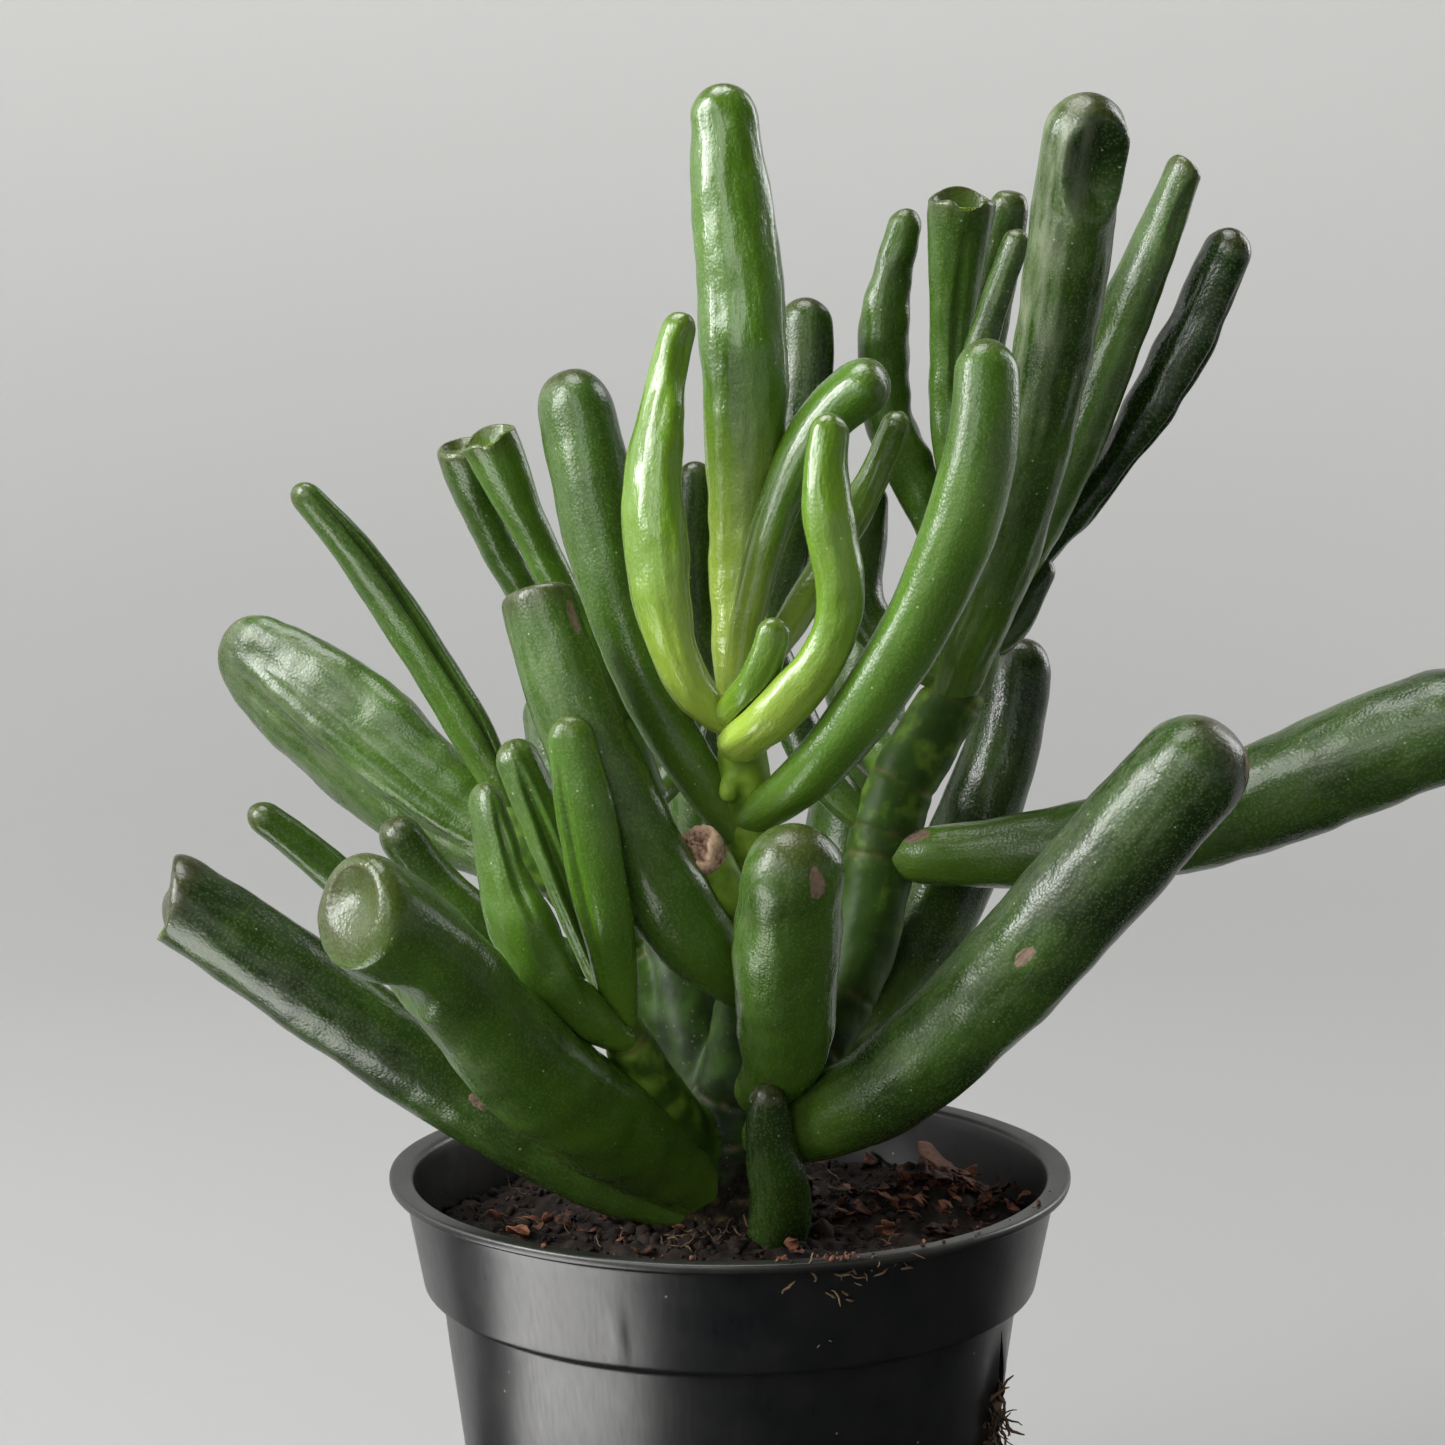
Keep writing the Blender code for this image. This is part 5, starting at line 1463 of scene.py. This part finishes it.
class JADE_OT_set_stage(bpy.types.Operator):
    """Set the pale floor, the soft lights and the camera"""

    bl_idname = "jade.set_stage"
    bl_label = "Set stage"

    def execute(self, context):
        scene = context.scene
        self.sweep()
        world = bpy.data.worlds.new("soft_room")
        world.use_nodes = True
        sky = world.node_tree.nodes["Background"]
        sky.inputs["Color"].default_value = linear("e4e4e4")
        sky.inputs["Strength"].default_value = 0.10
        scene.world = world
        self.lamp("window", (-0.95, -0.52, 0.72), (0.7, 1.0), 22.0, "ffffff")
        self.lamp("window_gap", (-1.05, -0.30, 0.62), (0.11, 1.0), 14.0, "ffffff")
        self.lamp("front_window", (-0.35, -1.1, 0.62), (0.5, 0.7), 4.5, "ffffff")
        self.lamp("left_wall", (-1.15, 0.2, 0.5), (1.2, 1.0), 6.0, "ffffff")
        self.lamp("rear_window", (0.8, 0.55, 0.5), (0.4, 0.9), 6.0, "ffffff")
        self.lamp("ceiling", (-0.15, 0.1, 1.2), (0.6, 0.6), 10.0, "ffffff")
        sheen = self.lamp("table_sheen", (-0.158, -0.100, 0.004), (0.20, 0.11), 0.55, "fffefc")
        sheen.rotation_euler = (math.pi, 0, math.radians(-147))
        sheen.visible_diffuse = False
        sheen.visible_transmission = False
        front = [tuple(1.3 * direction(azimuth, 0)[:2]) for azimuth in range(-175, 1, 25)]
        for k, (left, right) in enumerate(zip(front, front[1:])):
            self.flag(f"dark_room_{k}", ((*left, 0), (*right, 0), (*right, 1.25), (*left, 1.25)))
        table = self.flag("dark_table", ((-1, -1, 0.0015), (1, -1, 0.0015), (1, 0.06, 0.0015),
                                         (-1, 0.06, 0.0015)))
        table.visible_diffuse = False
        camera = bpy.data.cameras.new("camera")
        camera.lens = 79.7
        camera.sensor_width = 36
        camera.clip_start = 0.01
        eye = bpy.data.objects.new("camera", camera)
        eye.location = (-0.9 * MM, -386 * MM, 179 * MM)
        eye.rotation_euler = (math.radians(90 - 7.2), 0, 0)
        scene.collection.objects.link(eye)
        scene.camera = eye
        scene.view_settings.view_transform = "Standard"
        return {"FINISHED"}

    def sweep(self):
        """A pale floor that curves up into a low wall all round, painted darker low down as painted shade
        that offsets the lamps' stronger light on the floor.
        """
        reach, bend = 1500.0, 1000.0
        flat = [(r, 0.0) for r in (1, 200, reach - bend)]
        curve = []
        for k in range(1, 17):
            a = math.radians(90 * k / 16)
            curve.append((reach - bend + bend * math.sin(a), bend * (1 - math.cos(a))))
        profile = np.array([*flat, *curve, (reach, 1300.0)])
        rows, _ = lathe(profile, 96)
        points = rows.reshape(-1, 3)
        sides = 96
        faces = []
        for r in range(len(profile) - 1):
            for k in range(sides):
                n = (k + 1) % sides
                faces.append((r * sides + k, r * sides + n, (r + 1) * sides + n, (r + 1) * sides + k))
        faces.append(tuple(range(sides))[::-1])
        made, tree, shader = new_finish("backdrop_paper_painted_floor_shade",
                                        {"Roughness": 1.0, "Specular IOR Level": 0.0})
        place = add_node(tree, "ShaderNodeTexCoord").outputs["Object"]
        height = add_node(tree, "ShaderNodeSeparateXYZ", {}, {"Vector": place}).outputs["Z"]
        # Painted shade: the paper is darker on the floor than up the wall, to offset the stronger lamp light
        # on the floor
        rise = add_node(tree, "ShaderNodeMapRange", {"From Max": 0.45}, {"Value": height})
        tone = blended(tree, rise.outputs["Result"], linear("8f8f8e"), linear("cbcbc9"))
        tree.links.new(tone, shader.inputs["Base Color"])
        floor = make_object("floor", points, faces, made)

    def flag(self, name, corners):
        """A black card that the camera does not see, for the dark side of a gloss."""
        black, _, _ = new_finish(f"{name}_black_felt", {"Base Color": linear("0a0a0a"), "Roughness": 1.0})
        card = make_object(name, np.array(corners) / MM, [tuple(range(len(corners)))], black)
        card.visible_camera = False
        card.visible_shadow = False
        return card

    def lamp(self, name, place, size, power, colour):
        """A soft rectangular lamp aimed at the plant; its place and size are in metres."""
        data = bpy.data.lights.new(name, "AREA")
        data.shape = "RECTANGLE"
        data.size, data.size_y = size
        data.energy = power
        data.color = linear(colour)[:3]
        lamp = bpy.data.objects.new(name, data)
        lamp.location = place
        aim = Vector((0, 0, 0.12)) - Vector(place)
        lamp.rotation_euler = aim.to_track_quat("-Z", "Y").to_euler()
        lamp.visible_camera = False
        bpy.context.scene.collection.objects.link(lamp)
        return lamp


class JADE_PT_panel(bpy.types.Panel):
    """Steps and settings of the plant"""

    bl_label = "Potted Jade Plant"
    bl_idname = "JADE_PT_panel"
    bl_space_type = "VIEW_3D"
    bl_region_type = "UI"
    bl_category = "Jade Plant"

    def draw(self, context):
        for step in STEPS:
            self.layout.operator(step.bl_idname)
        for key in SETTINGS:
            group = getattr(context.scene, key)
            column = self.layout.column()
            for name in group.__annotations__:
                column.prop(group, name)


STEPS = (JADE_OT_grow_stem, JADE_OT_grow_leaves, JADE_OT_mould_pot, JADE_OT_fill_soil,
         JADE_OT_scatter_litter, JADE_OT_grow_root_tuft, JADE_OT_set_stage)
SETTINGS = {"jade_plant": PlantLooks, "jade_pot": PotLooks, "jade_soil": SoilLooks}


def register():
    for made in (*SETTINGS.values(), *STEPS, JADE_PT_panel):
        bpy.utils.register_class(made)
    for key, group in SETTINGS.items():
        setattr(bpy.types.Scene, key, PointerProperty(type=group))


def unregister():
    for key in SETTINGS:
        delattr(bpy.types.Scene, key)
    for made in reversed((*SETTINGS.values(), *STEPS, JADE_PT_panel)):
        bpy.utils.unregister_class(made)


def main():
    register()
    lay_out()
    bpy.ops.jade.grow_stem()
    bpy.ops.jade.grow_leaves()
    bpy.ops.jade.mould_pot()
    bpy.ops.jade.fill_soil()
    bpy.ops.jade.scatter_litter()
    bpy.ops.jade.grow_root_tuft()
    bpy.ops.jade.set_stage()


if __name__ == "__main__":
    main()
